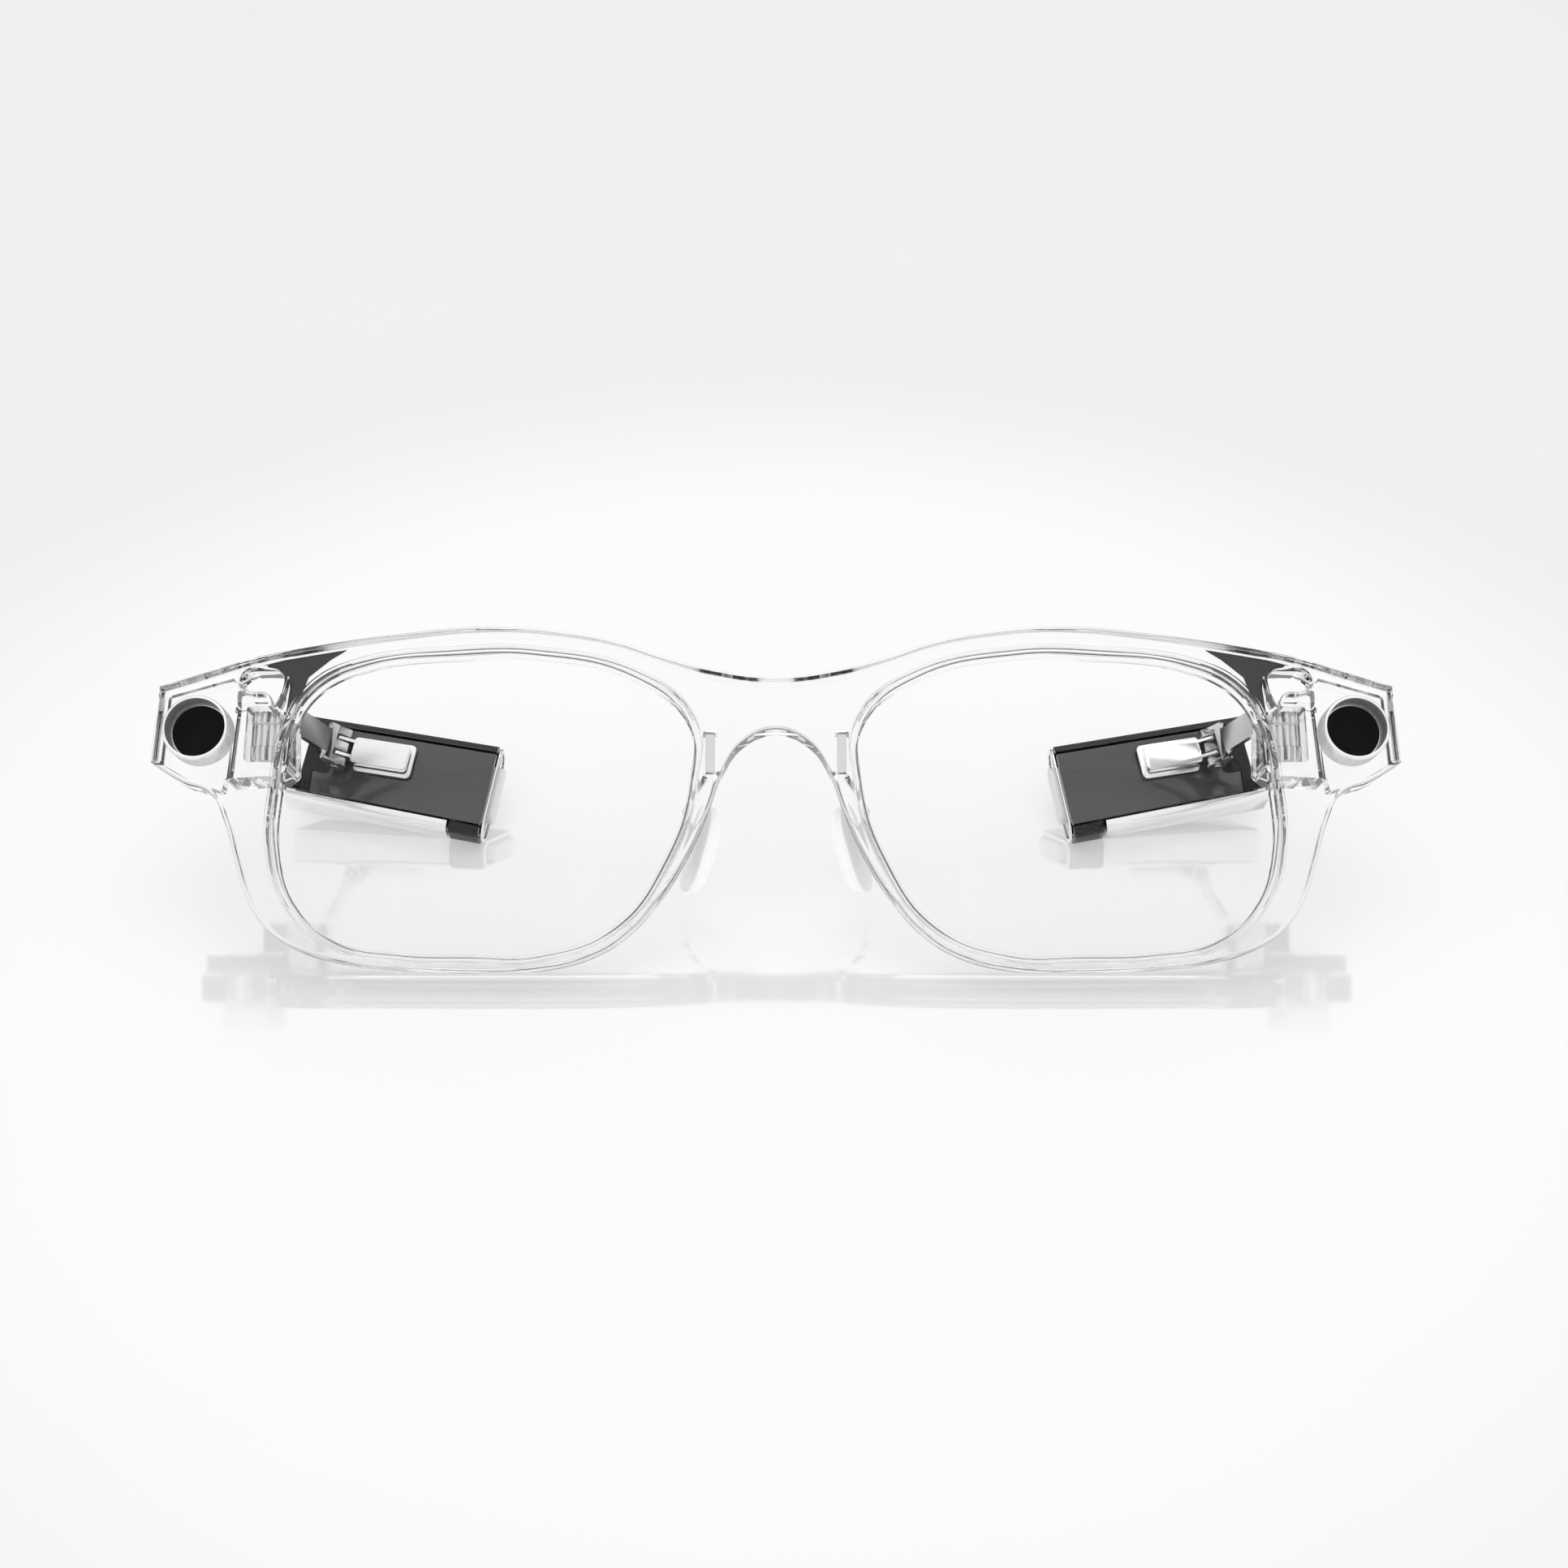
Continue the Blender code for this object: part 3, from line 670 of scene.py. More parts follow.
def even_shading(mesh, angle=SHARP):
    """Smooth shading that leans towards the larger faces."""
    mesh.shade_smooth()
    mesh.set_sharp_from_angle(angle=angle)

    def modifiers(passing):
        weigh = passing.modifiers.new("weigh", "WEIGHTED_NORMAL")
        weigh.keep_sharp = True
        weigh.weight = 60

    return evaluated(mesh.name, mesh, modifiers)


# %% A finished piece


def piece(name, mesh, own_axes, body, slot, stands_for=()):
    """Puts a mesh made in its own millimetres in its place, and rides it on its body.

    Those millimetres stay on the mesh as an attribute, which the finish reads.
    """
    stored = mesh.attributes.new("place", "FLOAT_VECTOR", "POINT")
    points = [0.0] * (3 * len(mesh.vertices))
    mesh.vertices.foreach_get("co", points)
    stored.data.foreach_set("vector", points)
    mesh.transform(own_axes)
    if own_axes.determinant() < 0:
        mesh.flip_normals()
    mesh.materials.clear()
    mesh.materials.append(FINISHES[slot])
    made = bpy.data.objects.new(name, mesh)
    bpy.context.scene.collection.objects.link(made)
    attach(made, body)
    if stands_for:
        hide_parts(*stands_for)
    print(name, "has", len(mesh.polygons), "faces")
    return made


def softened_solid(node, own_axes, width, segments=3):
    """A solid's mesh in its own millimetres, merged, with its edges rounded."""
    mesh = frame["nodes"][node].data.copy()
    mesh.name = node + "_soft"
    mesh.transform(own_axes.inverted())
    if own_axes.determinant() < 0:
        mesh.flip_normals()
    shape = bmesh.new()
    shape.from_mesh(mesh)
    bmesh.ops.remove_doubles(shape, verts=shape.verts, dist=0.002)
    bmesh.ops.dissolve_limit(
        shape, angle_limit=math.radians(1.0), verts=shape.verts, edges=shape.edges
    )
    bmesh.ops.recalc_face_normals(shape, faces=shape.faces)
    shape.to_mesh(mesh)
    shape.free()
    return even_shading(soften(mesh, width, segments))


# %% [markdown]
# ## The clear front
#
# The real front is one moulding of clear plastic: a plate with two eye openings, thick blocks at
# the ends and a boss behind each for the hinge. Its outline is a few dozen points with smooth
# curves between them, filled and rounded as a flat curve. Boolean joins and cuts add the rest,
# because plastic that overlaps itself would bend light twice.

# %% Outline of the front, right half, in millimetres (x, z). True marks a sharp corner
TOP_EDGE = [
    (0, 36.4), (7.9, 37.4), (13.0, 38.8), (19.2, 40.9), (26.1, 42.2), (34.7, 42.8),
    (46.2, 41.8), (54.9, 40.5), (63.3, 38.8), (68.4, 37.2), (74.6, 35.2, True),
]
LOWER_EDGE = [
    (75.0, 25.7, True), (71.0, 23.2), (67.6, 21.8), (65.8, 18.6), (64.1, 13.4), (62.8, 9.7),
    (61.0, 6.6), (57.8, 3.8), (51.3, 1.7), (45.2, 0.9), (36.2, 0.5), (28.1, 0.7), (21.4, 2.4),
    (17.0, 5.3), (13.9, 9.0), (10.7, 14.2), (8.1, 20.2), (6.5, 24.6), (3.9, 28.3), (0, 29.8),
]
EYE = [
    (29.5, 39.2), (38.0, 39.2), (50.8, 37.5), (55.8, 34.7), (58.4, 30.2), (59.6, 22.0),
    (59.6, 15.5), (57.2, 8.6), (52.0, 4.1), (45.0, 2.7), (36.0, 2.4), (28.1, 2.5), (19.1, 5.9),
    (13.1, 14.3), (10.3, 23.5), (10.6, 30.8), (17.0, 36.3),
]
CORNER_WINDOW = [
    (64.9, 35.2), (64.7, 36.3), (61.2, 37.1), (59.8, 36.8), (59.6, 35.4), (60.5, 32.8, True),
    (61.5, 34.3), (63.6, 34.6),
]
BLOCK = [(65.4, 37.4), (74.2, 34.8), (74.6, 26.1), (70.6, 23.7), (66.8, 22.6)]
BOSS = [(59.0, 26.0), (60.6, 24.6), (66.8, 24.2), (66.2, 33.8), (62.0, 33.8), (59.4, 32.4)]
print("outline points:", len(TOP_EDGE + LOWER_EDGE), "eye points:", len(EYE))

# %% A flat curve with a rounded rim, as a mesh


def on_side(loop, side):
    placed = [(x * side, z, *sharp) for x, z, *sharp in loop]
    return placed if side > 0 else placed[::-1]


def plate(name, loops, depth, edge, y_centre, reach=0.0, steps=9, rim_steps=4):
    """A plate from smooth closed loops. Inner loops are holes, and reach grows the outline."""
    data = bpy.data.curves.new(name, "CURVE")
    data.dimensions = "2D"
    data.fill_mode = "BOTH"
    data.resolution_u = steps
    data.extrude = depth / 2 - edge
    data.bevel_depth = edge
    data.bevel_resolution = rim_steps
    data.offset = reach - edge
    for loop in loops:
        spline = data.splines.new("BEZIER")
        spline.bezier_points.add(len(loop) - 1)
        spline.use_cyclic_u = True
        for point, (x, z, *sharp) in zip(spline.bezier_points, loop):
            point.co = (x, z, 0)
            kind = "VECTOR" if sharp else "AUTO"
            point.handle_left_type = kind
            point.handle_right_type = kind
    curve = bpy.data.objects.new(name, data)
    bpy.context.scene.collection.objects.link(curve)
    bpy.context.view_layer.update()
    graph = bpy.context.evaluated_depsgraph_get()
    mesh = bpy.data.meshes.new_from_object(curve.evaluated_get(graph))
    bpy.data.objects.remove(curve)
    mesh.transform(Matrix.Translation((0, y_centre, 0)) @ Matrix.Rotation(math.pi / 2, 4, "X"))
    merge(mesh, 0.004)
    return mesh


def prism(name, outline, y0, y1, width=0.0):
    """An outline of (x, z) points drawn along y, with its edges rounded by width."""
    mesh = skin(name, [[(x, y, z) for x, z in outline] for y in (y0, y1)])
    return soften(mesh, width, 4) if width else mesh


# %% Joins and cuts


def joined(name, mesh, steps):
    """The mesh after each (operation, other mesh) in turn."""
    tools = []

    def modifiers(passing):
        for i, (operation, other) in enumerate(steps):
            tool = bpy.data.objects.new(f"tool_{i}", other)
            bpy.context.scene.collection.objects.link(tool)
            tools.append(tool)
            cut = passing.modifiers.new(f"step_{i}", "BOOLEAN")
            cut.operation = operation
            cut.object = tool
            cut.solver = "EXACT"

    made = evaluated(name, mesh, modifiers)
    for tool in tools:
        bpy.data.objects.remove(tool)
    return made


# %% The front moulding
FRONT_DEPTH = 4.0
FRONT_EDGE = 0.55
BLOCK_DEPTH = 6.5
LENS_DEPTH = 1.2
LENS_Y = 2.0
GROOVE_REACH = 0.7
GAP = 0.3
BEZEL_REACH = 1.05
BEZEL_DEPTH = 0.22
HUB_POCKET_R = 2.9
BRACKET_POCKET = {"x": (59.9, 64.5), "y": (4.1, 15.4), "z": (26.3, 33.3)}
ANCHOR_POCKET = {"x": (7.1, 8.8), "y": (1.3, 5.9), "z": (24.3, 29.7)}


def pocket(name, sizes, side, corner, steps):
    """A round-cornered pocket along y, on one side of the front."""
    near, far = sorted(x * side for x in sizes["x"])
    return prism(name, rounded(near, far, *sizes["z"], corner, steps), *sizes["y"])


def front_tools():
    steps = []
    for side in SIDES.values():
        block = [(x * side, z) for x, z in BLOCK]
        boss = [(x * side, z) for x, z in BOSS]
        steps.append(("UNION", prism("block", block, 0.4, BLOCK_DEPTH, 0.45)))
        steps.append(("UNION", prism("boss", boss, 2.0, 10.2, 0.4)))
    for side in SIDES.values():
        eye = [on_side(EYE, side)]
        steps.append(("DIFFERENCE", plate("bezel", eye, 2.0, 0.12, BEZEL_DEPTH - 1.0, BEZEL_REACH)))
        groove = plate("groove", eye, LENS_DEPTH + 2 * GAP, 0.08, LENS_Y, GROOVE_REACH + GAP, 9, 1)
        steps.append(("DIFFERENCE", groove))
        circle = arc((DIAL_X * side, DIAL_Z), HUB_POCKET_R, 0, 360, 48)[:-1]
        steps.append(("DIFFERENCE", prism("hub_pocket", circle, -1.0, 3.7)))
        steps.append(("DIFFERENCE", pocket("bracket_pocket", BRACKET_POCKET, side, 0.5, 4)))
        steps.append(("DIFFERENCE", pocket("anchor_pocket", ANCHOR_POCKET, side, 0.3, 3)))
    return steps


def front_mesh():
    right = TOP_EDGE + LOWER_EDGE
    left = [(-x, z, *sharp) for x, z, *sharp in reversed(right) if x]
    loops = [right + left]
    for side in SIDES.values():
        loops.append(on_side(EYE, side))
        loops.append(on_side(CORNER_WINDOW, side))
    flat = plate("front_plate", loops, FRONT_DEPTH, FRONT_EDGE, FRONT_DEPTH / 2)
    return even_shading(joined("front_clear", flat, front_tools()), math.radians(30))


piece("front_clear", front_mesh(), FRONT, "front", "clear_plastic", ["front_frame"])

# %% [markdown]
# ## Lenses
#
# A plano lens is the eye opening grown by the depth of its groove. The same outline as the front
# makes it, so its edge follows the groove exactly.

# %% Lenses
for label, side in SIDES.items():
    shape = plate("lens", [on_side(EYE, side)], LENS_DEPTH, 0.1, LENS_Y, GROOVE_REACH, 9, 2)
    shape = even_shading(shape)
    piece("lens_clear_" + label, shape, FRONT, "front", "lens_clear", ["lens_" + label])

# %% [markdown]
# ## Knurled dials
#
# A dial is a turned ring with fine ridges round its flank. The ring is turned from a profile. Its
# ridges all have one shape, so Geometry Nodes sets copies of one small ridge round a circle and
# makes them real at the end, because an exported model keeps no instances.

# %% A Geometry Nodes tree that sets ridges round a circle
RIDGE_COUNT = 84
RING_R = 4.0
RIDGE_PROUD = 0.07


def ridge_tree(slot):
    tree = bpy.data.node_groups.new("ridges_round_a_circle", "GeometryNodeTree")
    face = tree.interface
    face.new_socket("Ring", in_out="INPUT", socket_type="NodeSocketGeometry")
    face.new_socket("Ridge", in_out="INPUT", socket_type="NodeSocketObject")
    face.new_socket("Count", in_out="INPUT", socket_type="NodeSocketInt")
    face.new_socket("Radius", in_out="INPUT", socket_type="NodeSocketFloat")
    face.new_socket("Ring", in_out="OUTPUT", socket_type="NodeSocketGeometry")
    nodes, links = tree.nodes, tree.links
    given = nodes.new("NodeGroupInput")
    circle = nodes.new("GeometryNodeMeshCircle")
    links.new(given.outputs["Count"], circle.inputs["Vertices"])
    links.new(given.outputs["Radius"], circle.inputs["Radius"])
    ridge = nodes.new("GeometryNodeObjectInfo")
    links.new(given.outputs["Ridge"], ridge.inputs["Object"])
    index = nodes.new("GeometryNodeInputIndex")
    share = nodes.new("ShaderNodeMath")
    share.operation = "DIVIDE"
    links.new(index.outputs[0], share.inputs[0])
    links.new(given.outputs["Count"], share.inputs[1])
    turn = nodes.new("ShaderNodeMath")
    turn.operation = "MULTIPLY"
    links.new(share.outputs[0], turn.inputs[0])
    turn.inputs[1].default_value = 2 * math.pi
    rotation = nodes.new("ShaderNodeCombineXYZ")
    links.new(turn.outputs[0], rotation.inputs["Z"])
    copies = nodes.new("GeometryNodeInstanceOnPoints")
    links.new(circle.outputs["Mesh"], copies.inputs["Points"])
    links.new(ridge.outputs["Geometry"], copies.inputs["Instance"])
    links.new(rotation.outputs[0], copies.inputs["Rotation"])
    both = nodes.new("GeometryNodeJoinGeometry")
    links.new(given.outputs["Ring"], both.inputs[0])
    links.new(copies.outputs[0], both.inputs[0])
    real = nodes.new("GeometryNodeRealizeInstances")
    links.new(both.outputs[0], real.inputs[0])
    finish = nodes.new("GeometryNodeSetMaterial")
    finish.inputs["Material"].default_value = FINISHES[slot]
    links.new(real.outputs[0], finish.inputs["Geometry"])
    taken = nodes.new("NodeGroupOutput")
    links.new(finish.outputs[0], taken.inputs[0])
    return tree


# %% The ridge, and the ring it repeats on


def ridge_bar():
    """A half-round bar along z, with its back sunk into the ring."""
    section = [(-0.05, -0.1), (0.03, -0.08), (0.06, -0.03), (0.06, 0.03), (0.03, 0.08), (-0.05, 0.1)]
    levels = ((0.5, 0.5), (0.58, 1.0), (3.35, 1.0), (3.45, 0.5))
    rings = [[(x * share, y, z) for x, y in section] for z, share in levels]
    mesh = skin("ridge", rings)
    mesh.shade_smooth()
    return mesh


def ring_mesh():
    flank = RING_R - RIDGE_PROUD
    profile = [
        (1.3, 0.3), (3.78, 0.3), (flank - 0.06, 0.33), (flank, 0.42),
        (flank, 3.62), (flank - 0.03, 3.74), (flank - 0.1, 3.84), (flank - 0.2, 3.9),
        (3.62, 3.9), (3.57, 3.87), (3.55, 3.8), (3.55, 1.05), (3.5, 1.0), (1.3, 1.0),
    ]
    mesh = turned("ring", profile, 168)
    mesh.shade_smooth()
    mesh.set_sharp_from_angle(angle=SHARP)
    return mesh


def knurled_ring():
    bar = bpy.data.objects.new("ridge_bar", ridge_bar())
    bpy.context.scene.collection.objects.link(bar)
    tree = ridge_tree("satin_aluminium")
    sizes = {"Ridge": bar, "Count": RIDGE_COUNT, "Radius": RING_R - RIDGE_PROUD}

    def modifiers(passing):
        ridges = passing.modifiers.new("ridges", "NODES")
        ridges.node_group = tree
        for item in tree.interface.items_tree:
            if item.in_out == "INPUT" and item.name in sizes:
                ridges[item.identifier] = sizes[item.name]

    made = evaluated("knurled_ring", ring_mesh(), modifiers)
    bpy.data.objects.remove(bar)
    return made


for label in SIDES:
    piece("dial_knurled_" + label, knurled_ring(), DIAL[label], "dial_" + label,
          "satin_aluminium", ["dial_ring_" + label])

# %% [markdown]
# ## The black disc in the dial
#
# Its face was cut on a lathe, so fine grooves run round its centre. They are what stretches a
# highlight into two opposite wedges, and the finish makes them as a bump over the radius.

# %% Spun disc
for label in SIDES:
    profile = [(0.0, 1.56)]
    profile += [(0.3 * i, 1.56 + 0.006 * i) for i in range(1, 10)]
    profile += [(3.1, 1.63), (3.2, 1.6), (3.28, 1.5), (3.3, 1.4), (3.3, 1.32), (0.0, 1.3)]
    disc = turned("disc", profile, 128)
    disc.shade_smooth()
    disc.set_sharp_from_angle(angle=SHARP)
    piece("dial_disc_" + label, disc, DIAL[label], "dial_" + label,
          "black_spun_metal", ["dial_window_" + label])

# %% [markdown]
# ## Folding arms
#
# Each short arm is a shell that is open towards the front, closed by a grey panel and, below, by
# a bright strip with a dark tip. At its root a black cover closes the hinge. All of them follow
# one tapering section, so three straight rules give the arm's back, top and bottom at any
# distance along it.

# %% The arm's section
ARM_START = -6.0
ARM_END = 20.2
ARM_FACE = 1.6
ARM_WALL = 0.7
ARM_CORNER = 1.2
STRIP_TOP = 1.25
STRIP_END = 15.4
TUBE_END = ARM_END - 0.6
SEAM_X = -3.6
SEAM_LEAN = 0.12
SEAM_GAP = 0.08
NOTCH_X = -1.0
NOTCH_Z = 3.0
NOTCH_R = 0.6
PANEL_THICK = 0.6


def share_along(x):
    return (x - ARM_START) / (ARM_END - ARM_START)


def arm_bottom(x):
    return -7.2 - 1.1 * share_along(x)


def arm_top(x):
    return 5.0 - 0.3 * share_along(x)


def arm_back(x):
    return ARM_FACE + 4.7 - 0.9 * share_along(x)


# %% Shell, gutter and panel


def shell_section(x):
    back, top, low = arm_back(x), arm_top(x), arm_bottom(x) + STRIP_TOP + GAP
    far = (back - ARM_CORNER, top - ARM_CORNER)
    near = (ARM_FACE + ARM_CORNER, top - ARM_CORNER)
    inner = ARM_CORNER - ARM_WALL
    outside = [(back, low)] + arc(far, ARM_CORNER, 0, 90) + arc(near, ARM_CORNER, 90, 180)
    inside = arc(near, inner, 180, 90) + arc(far, inner, 90, 0) + [(back - ARM_WALL, low)]
    return [(x, y, z) for y, z in outside + inside]


def gutter_section(x):
    back, low = arm_back(x), arm_bottom(x)
    high = low + STRIP_TOP
    far = (back - ARM_CORNER, low + ARM_CORNER)
    near = (ARM_FACE + ARM_CORNER, low + ARM_CORNER)
    inner = ARM_CORNER - ARM_WALL
    outside = [(ARM_FACE, high)] + arc(near, ARM_CORNER, 180, 270) + arc(far, ARM_CORNER, 270, 360)
    inside = arc(far, inner, 360, 270) + arc(near, inner, 270, 180) + [(ARM_FACE + ARM_WALL, high)]
    return [(x, y, z) for y, z in outside + [(back, high), (back - ARM_WALL, high)] + inside]


def slanted(x, z):
    """The seam between the hinge cover and the panel, which leans a little."""
    return x - SEAM_LEAN * z


def panel_mesh():
    """The grey face, from the seam to the end of the arm, with a notch that clears the strap."""
    low, high = STRIP_TOP + GAP, ARM_CORNER + GAP
    foot, head = arm_bottom(SEAM_X) + low, arm_top(SEAM_X) - high
    outline = [(slanted(SEAM_X, foot), foot), (TUBE_END, arm_bottom(TUBE_END) + low)]
    outline += [(TUBE_END, arm_top(TUBE_END) - high), (slanted(SEAM_X, head), head)]
    outline.append((slanted(SEAM_X, NOTCH_Z), NOTCH_Z))
    outline += arc((NOTCH_X - NOTCH_R, NOTCH_Z - NOTCH_R), NOTCH_R, 90, 0, 5)
    outline += arc((NOTCH_X - NOTCH_R, NOTCH_R - NOTCH_Z), NOTCH_R, 0, -90, 5)
    outline.append((slanted(SEAM_X, -NOTCH_Z), -NOTCH_Z))
    return face_mesh("panel", [outline])


def cover_mesh():
    """The black cover of the hinge: one bar above the strap's notch and one below."""
    low, high = STRIP_TOP + GAP, ARM_CORNER + GAP
    end = SEAM_X - SEAM_GAP
    foot, head = arm_bottom(end) + low, arm_top(end) - high
    below = [(ARM_START, arm_bottom(ARM_START) + low), (slanted(end, foot), foot)]
    below += [(slanted(end, -NOTCH_Z), -NOTCH_Z), (ARM_START, -NOTCH_Z)]
    above = [(ARM_START, NOTCH_Z), (slanted(end, NOTCH_Z), NOTCH_Z)]
    above += [(slanted(end, head), head), (ARM_START, arm_top(ARM_START) - high)]
    return face_mesh("cover", [below, above])


def face_mesh(name, outlines):
    """Flat closed sheets on the arm's inner face, one for each outline."""
    shape = bmesh.new()
    for outline in outlines:
        shape.from_mesh(prism(name, outline, ARM_FACE, ARM_FACE + PANEL_THICK))
    mesh = bpy.data.meshes.new(name)
    shape.to_mesh(mesh)
    shape.free()
    return even_shading(soften(mesh, 0.06))


def arm_piece(kind, label, mesh, slot, node):
    piece(kind + "_" + label, mesh, ARM[label], "arm_" + label, slot, [node + "_" + label])


def straight(section, x0, x1, width=0.06):
    mesh = skin("skin", [section(x0 + (x1 - x0) * i / 6) for i in range(7)])
    return even_shading(soften(mesh, width, 2))


for label in SIDES:
    shell = straight(shell_section, ARM_START, TUBE_END)
    arm_piece("shell_gloss", label, shell, "dark_gloss", "arm_shell")
    strip = straight(gutter_section, ARM_START, STRIP_END)
    arm_piece("strip_silver", label, strip, "silver_plating", "arm_strip")
    tip = straight(gutter_section, STRIP_END + GAP, TUBE_END)
    arm_piece("tip_gloss", label, tip, "dark_gloss", "arm_tip")
    arm_piece("panel_grey", label, panel_mesh(), "grey_panel", "arm_panel")
    arm_piece("hinge_cover", label, cover_mesh(), "dark_gloss", "arm_panel")

# %% [markdown]
# ## The end of the arm
#
# A bright ring closes the arm, and a white plug stands a little proud of it. Both are rings of
# points lofted along the arm, with a few extra levels where an edge is rounded.

# %% End ring and plug
END_RING_R = 1.85
END_RING_GAP = 0.3
PLUG_MARGIN = 0.85
PLUG_HALF_Z = 3.9
PLUG_R = 1.05


def end_section(x, edge):
    """The arm's end, with all its walls moved in by edge."""
    low, high, back = arm_bottom(ARM_END), arm_top(ARM_END), arm_back(ARM_END)
    ring = rounded(ARM_FACE + edge, back - edge, low + edge, high - edge, END_RING_R - edge)
    return [(x, y, z) for y, z in ring]


def end_ring():
    levels = ((0.0, 0.0), (0.06, -0.06), (0.24, -0.06), (0.3, 0.0))
    start = TUBE_END + END_RING_GAP
    rings = [end_section(start + ahead, 0.06 + grow) for ahead, grow in levels]
    rings += [end_section(start + ahead, 0.49 - grow) for ahead, grow in reversed(levels)]
    return even_shading(skin("end_ring", rings, cap=False))


def end_plug():
    middle = (arm_bottom(ARM_END) + arm_top(ARM_END)) / 2
    near, far = ARM_FACE + PLUG_MARGIN, arm_back(ARM_END) - PLUG_MARGIN
    low, high = middle - PLUG_HALF_Z, middle + PLUG_HALF_Z
    rings = []
    for ahead, inset in ((-3.6, 0.0), (0.42, 0.0), (0.55, 0.04), (0.64, 0.12), (0.7, 0.26)):
        walls = (near + inset, far - inset, low + inset, high - inset)
        ring = rounded(*walls, PLUG_R - inset)
        rings.append([(ARM_END + ahead, y, z) for y, z in ring])
    return even_shading(skin("end_plug", rings))


for label in SIDES:
    arm_piece("end_ring", label, end_ring(), "silver_plating", "arm_end_ring")
    arm_piece("end_plug", label, end_plug(), "white_plastic", "arm_insert")

# %% [markdown]
# ## Hinge hardware
#
# The stamped and turned hinge parts already have the right shape as solids. They only lack soft
# edges, so each is copied, merged and bevelled.

# %% Softened hinge parts
for label in SIDES:
    for node, width in (("hinge_plate", 0.12), ("hinge_base", 0.14)):
        mesh = softened_solid(node + "_" + label, ARM[label], width)
        arm_piece(node + "_soft", label, mesh, "silver_plating", node)
    for node, own, width in (
        ("hinge_strap", ARM[label], 0.14), ("hinge_pin", ARM[label], 0.08),
        ("dial_hub", FRONT, 0.1),
    ):
        solid = node + "_" + label
        mesh = softened_solid(solid, own, width)
        piece(node + "_soft_" + label, mesh, own, "front", "polished_steel", [solid])

# %% [markdown]
# ## Hinge core
#
# Metal is moulded into clear plastic so that the hinge has something to hold. Here it is a ribbed
# block behind each end of the front, and a thin dark plate that hooks round the small window.
# The block's facets point different ways, so each picks up another part of the room.

# %% Ribbed block and hooked plate
CORE_HOOK = [
    (58.3, 33.0), (58.9, 31.8), (59.5, 32.4), (59.2, 35.4), (59.4, 36.9), (60.2, 37.35),
    (61.2, 37.45), (63.1, 37.1), (63.4, 38.1), (60.0, 39.0), (56.6, 39.6), (52.5, 40.3),
    (54.5, 39.0), (57.0, 36.8),
]
CORE_SHIFT = 0.9
CORE_LEVELS = ((26.7, 0.25), (28.4, 0.0), (28.6, 0.35), (31.2, 0.35), (31.4, 0.0), (32.9, 0.25))
CORE_PLATE_Y = (3.05, 3.5)
RIBS = (
    (59.6, 4.5), (60.0, 4.5), (60.4, 4.8), (60.8, 4.8), (61.2, 4.45), (61.6, 4.45), (61.95, 4.75),
    (62.3, 4.75), (62.6, 4.5), (63.0, 4.75), (63.0, 9.6), (62.5, 10.4), (60.1, 10.4), (59.6, 9.6),
)


def core_block(side):
    """Rings of one ribbed outline. Its front half, under y = 6, steps back at some levels."""
    rings = []
    for z, back in CORE_LEVELS:
        ring = [((x + CORE_SHIFT) * side, y + back if y < 6 else y, z) for x, y in RIBS]
        rings.append(ring)
    return even_shading(soften(skin("core_block", rings), 0.08, 2))


for label, side in SIDES.items():
    solid = "hinge_bracket_" + label
    piece("hinge_core_" + label, core_block(side), FRONT, "front", "polished_steel", [solid])
    hook = prism("core_hook", [(x * side, z) for x, z in CORE_HOOK], *CORE_PLATE_Y, 0.08)
    piece("core_plate_" + label, even_shading(hook), FRONT, "front", "dark_gloss", [solid])

# %% [markdown]
# ## Nose pads
#
# A pad is one silicone moulding: flat at the back, a narrow upright rim and a crowned face that
# touches the nose. Rings of one oval, each smaller and higher than the last, make that crown.

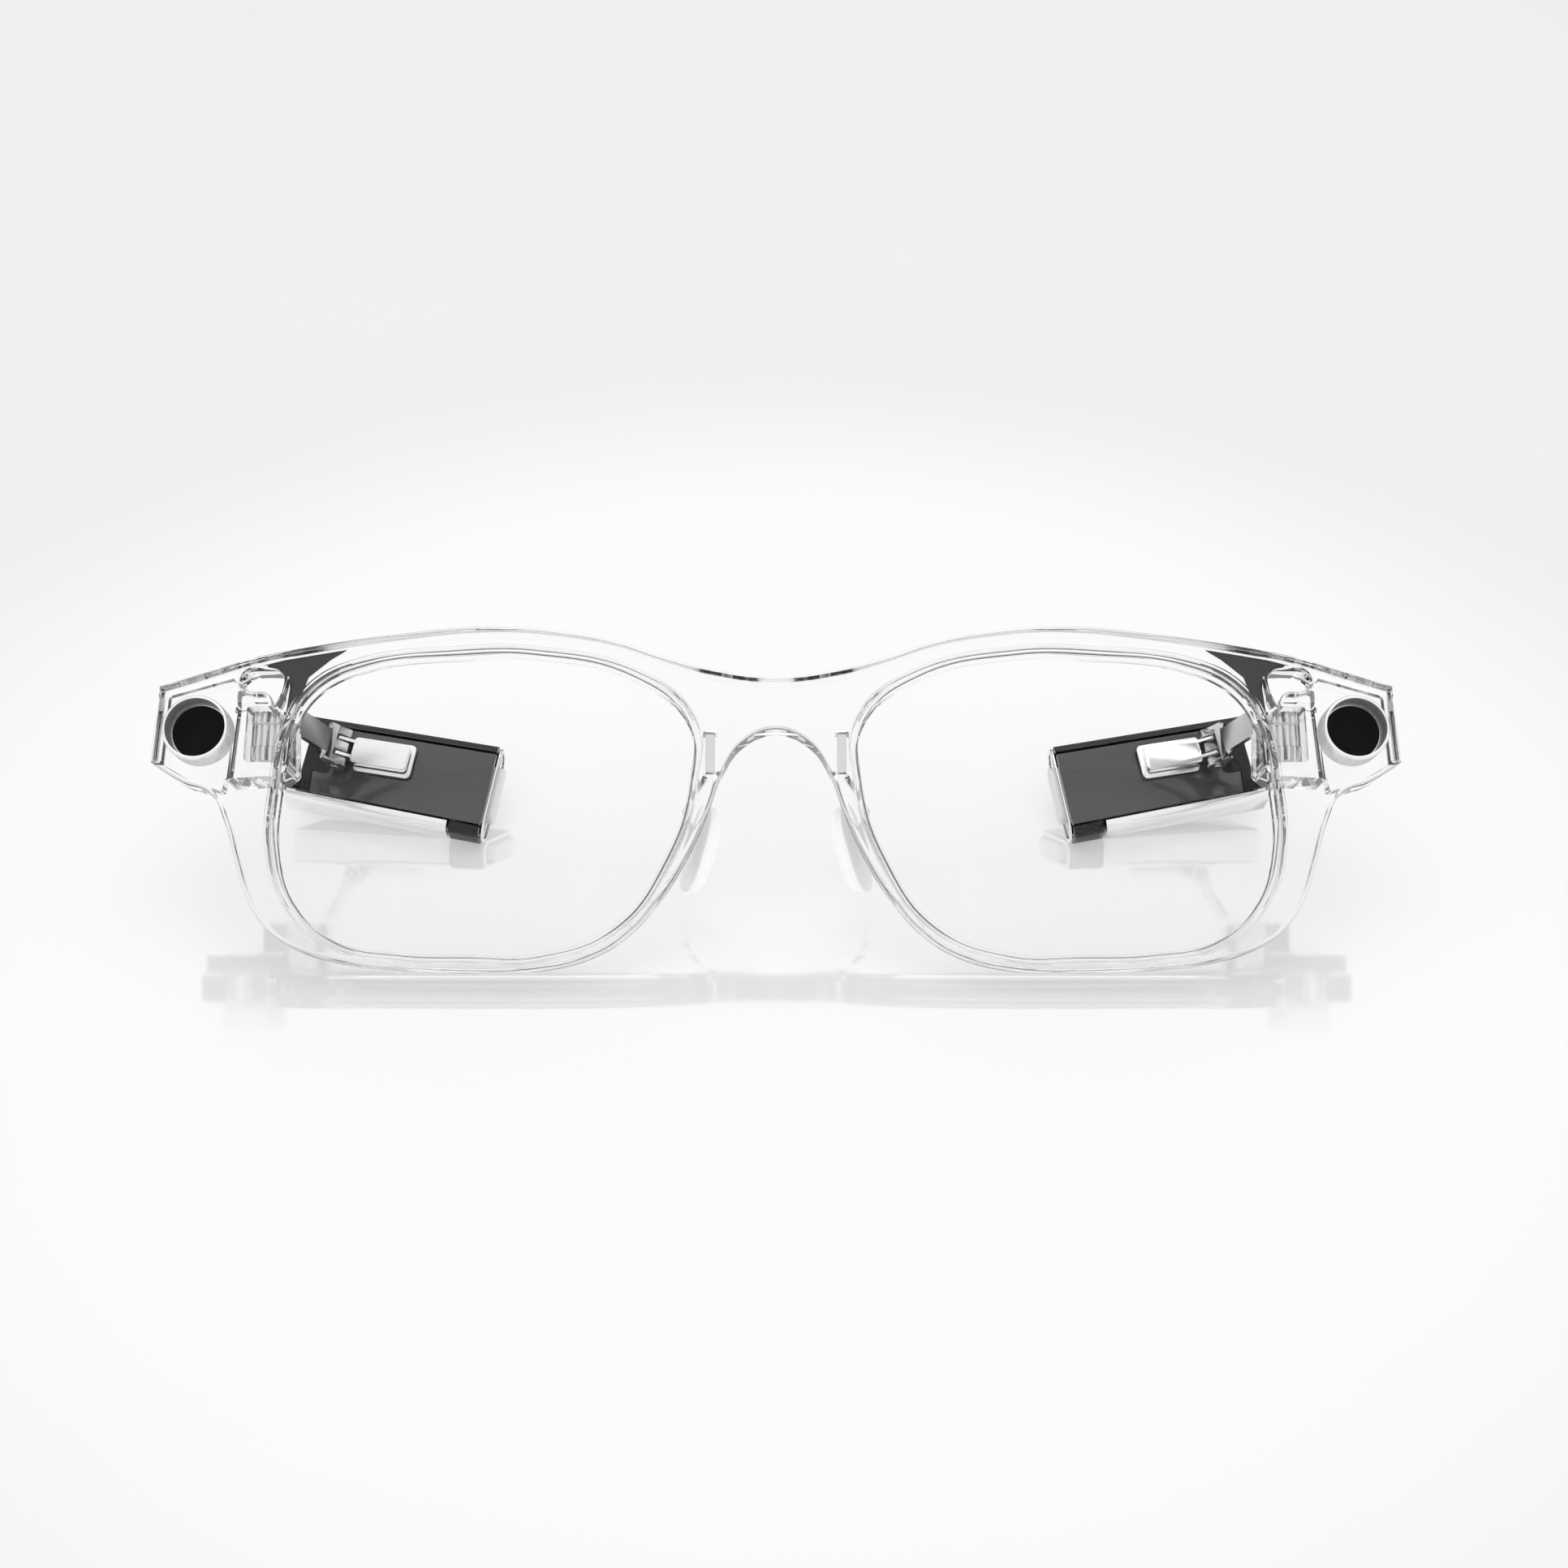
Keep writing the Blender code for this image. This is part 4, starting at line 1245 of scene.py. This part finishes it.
# %% Pad and its arm
PAD_TOP = Vector((7.6, 6.6, 21.6))
PAD_BOTTOM = Vector((10.6, 9.2, 11.4))
PAD_HALF_W = 3.2
PAD_LEVELS = (
    (-0.97, 0.0), (-0.97, 0.86), (-0.93, 0.94), (-0.84, 0.985), (-0.7, 1.0), (-0.15, 1.0),
    (0.05, 0.985), (0.2, 0.955), (0.5, 0.87), (0.85, 0.74), (1.15, 0.58), (1.38, 0.42),
    (1.52, 0.26), (1.59, 0.12), (1.6, 0.0),
)


def pad_axes(side):
    top = Vector((PAD_TOP.x * side, PAD_TOP.y, PAD_TOP.z))
    bottom = Vector((PAD_BOTTOM.x * side, PAD_BOTTOM.y, PAD_BOTTOM.z))
    along = (top - bottom).normalized()
    facing = Vector((0.45 * side, 1, 0))
    across = (facing - along * along.dot(facing)).normalized()
    out = along.cross(across)
    return (top + bottom) / 2, along, across, out if out.x * side < 0 else -out


def pad_mesh(side):
    middle, along, across, out = pad_axes(side)
    half = (PAD_TOP - PAD_BOTTOM).length / 2
    rings = []
    for height, share in PAD_LEVELS:
        ring = []
        for i in range(72):
            c, s = math.cos(2 * math.pi * i / 72), math.sin(2 * math.pi * i / 72)
            reach = half - (1 - share) * PAD_HALF_W if share else 0
            u = math.copysign(abs(c) ** (2 / 2.9), c) * reach
            v = math.copysign(abs(s) ** (2 / 2.5), s) * share * PAD_HALF_W
            ring.append(middle + along * u + across * v + out * height)
        rings.append(ring)
    mesh = skin("pad", rings)
    merge(mesh)
    return even_shading(mesh, math.radians(50))


for label, side in SIDES.items():
    piece("nose_pad_soft_" + label, pad_mesh(side), FRONT, "pad_" + label,
          "milky_silicone", ["nose_pad_" + label])
    mesh = softened_solid("nose_pad_arm_" + label, FRONT, 0.08)
    piece("pad_arm_steel_" + label, mesh, FRONT, "front", "polished_steel", ["nose_pad_arm_" + label])

# %% [markdown]
# ## Parts that stay as solids
#
# The battery, circuit board and speaker are hidden in the arm, and their solids are right as they
# are. They only need a finish.

# %% Finishes for the hidden solids
HIDDEN = {"battery": "battery_wrap", "circuit_board": "circuit_green", "speaker": "battery_wrap"}

for label in SIDES:
    for node, slot in HIDDEN.items():
        solid = frame["nodes"][node + "_" + label]
        for place in solid.material_slots:
            place.material = FINISHES[slot]
print("hidden solids dressed")
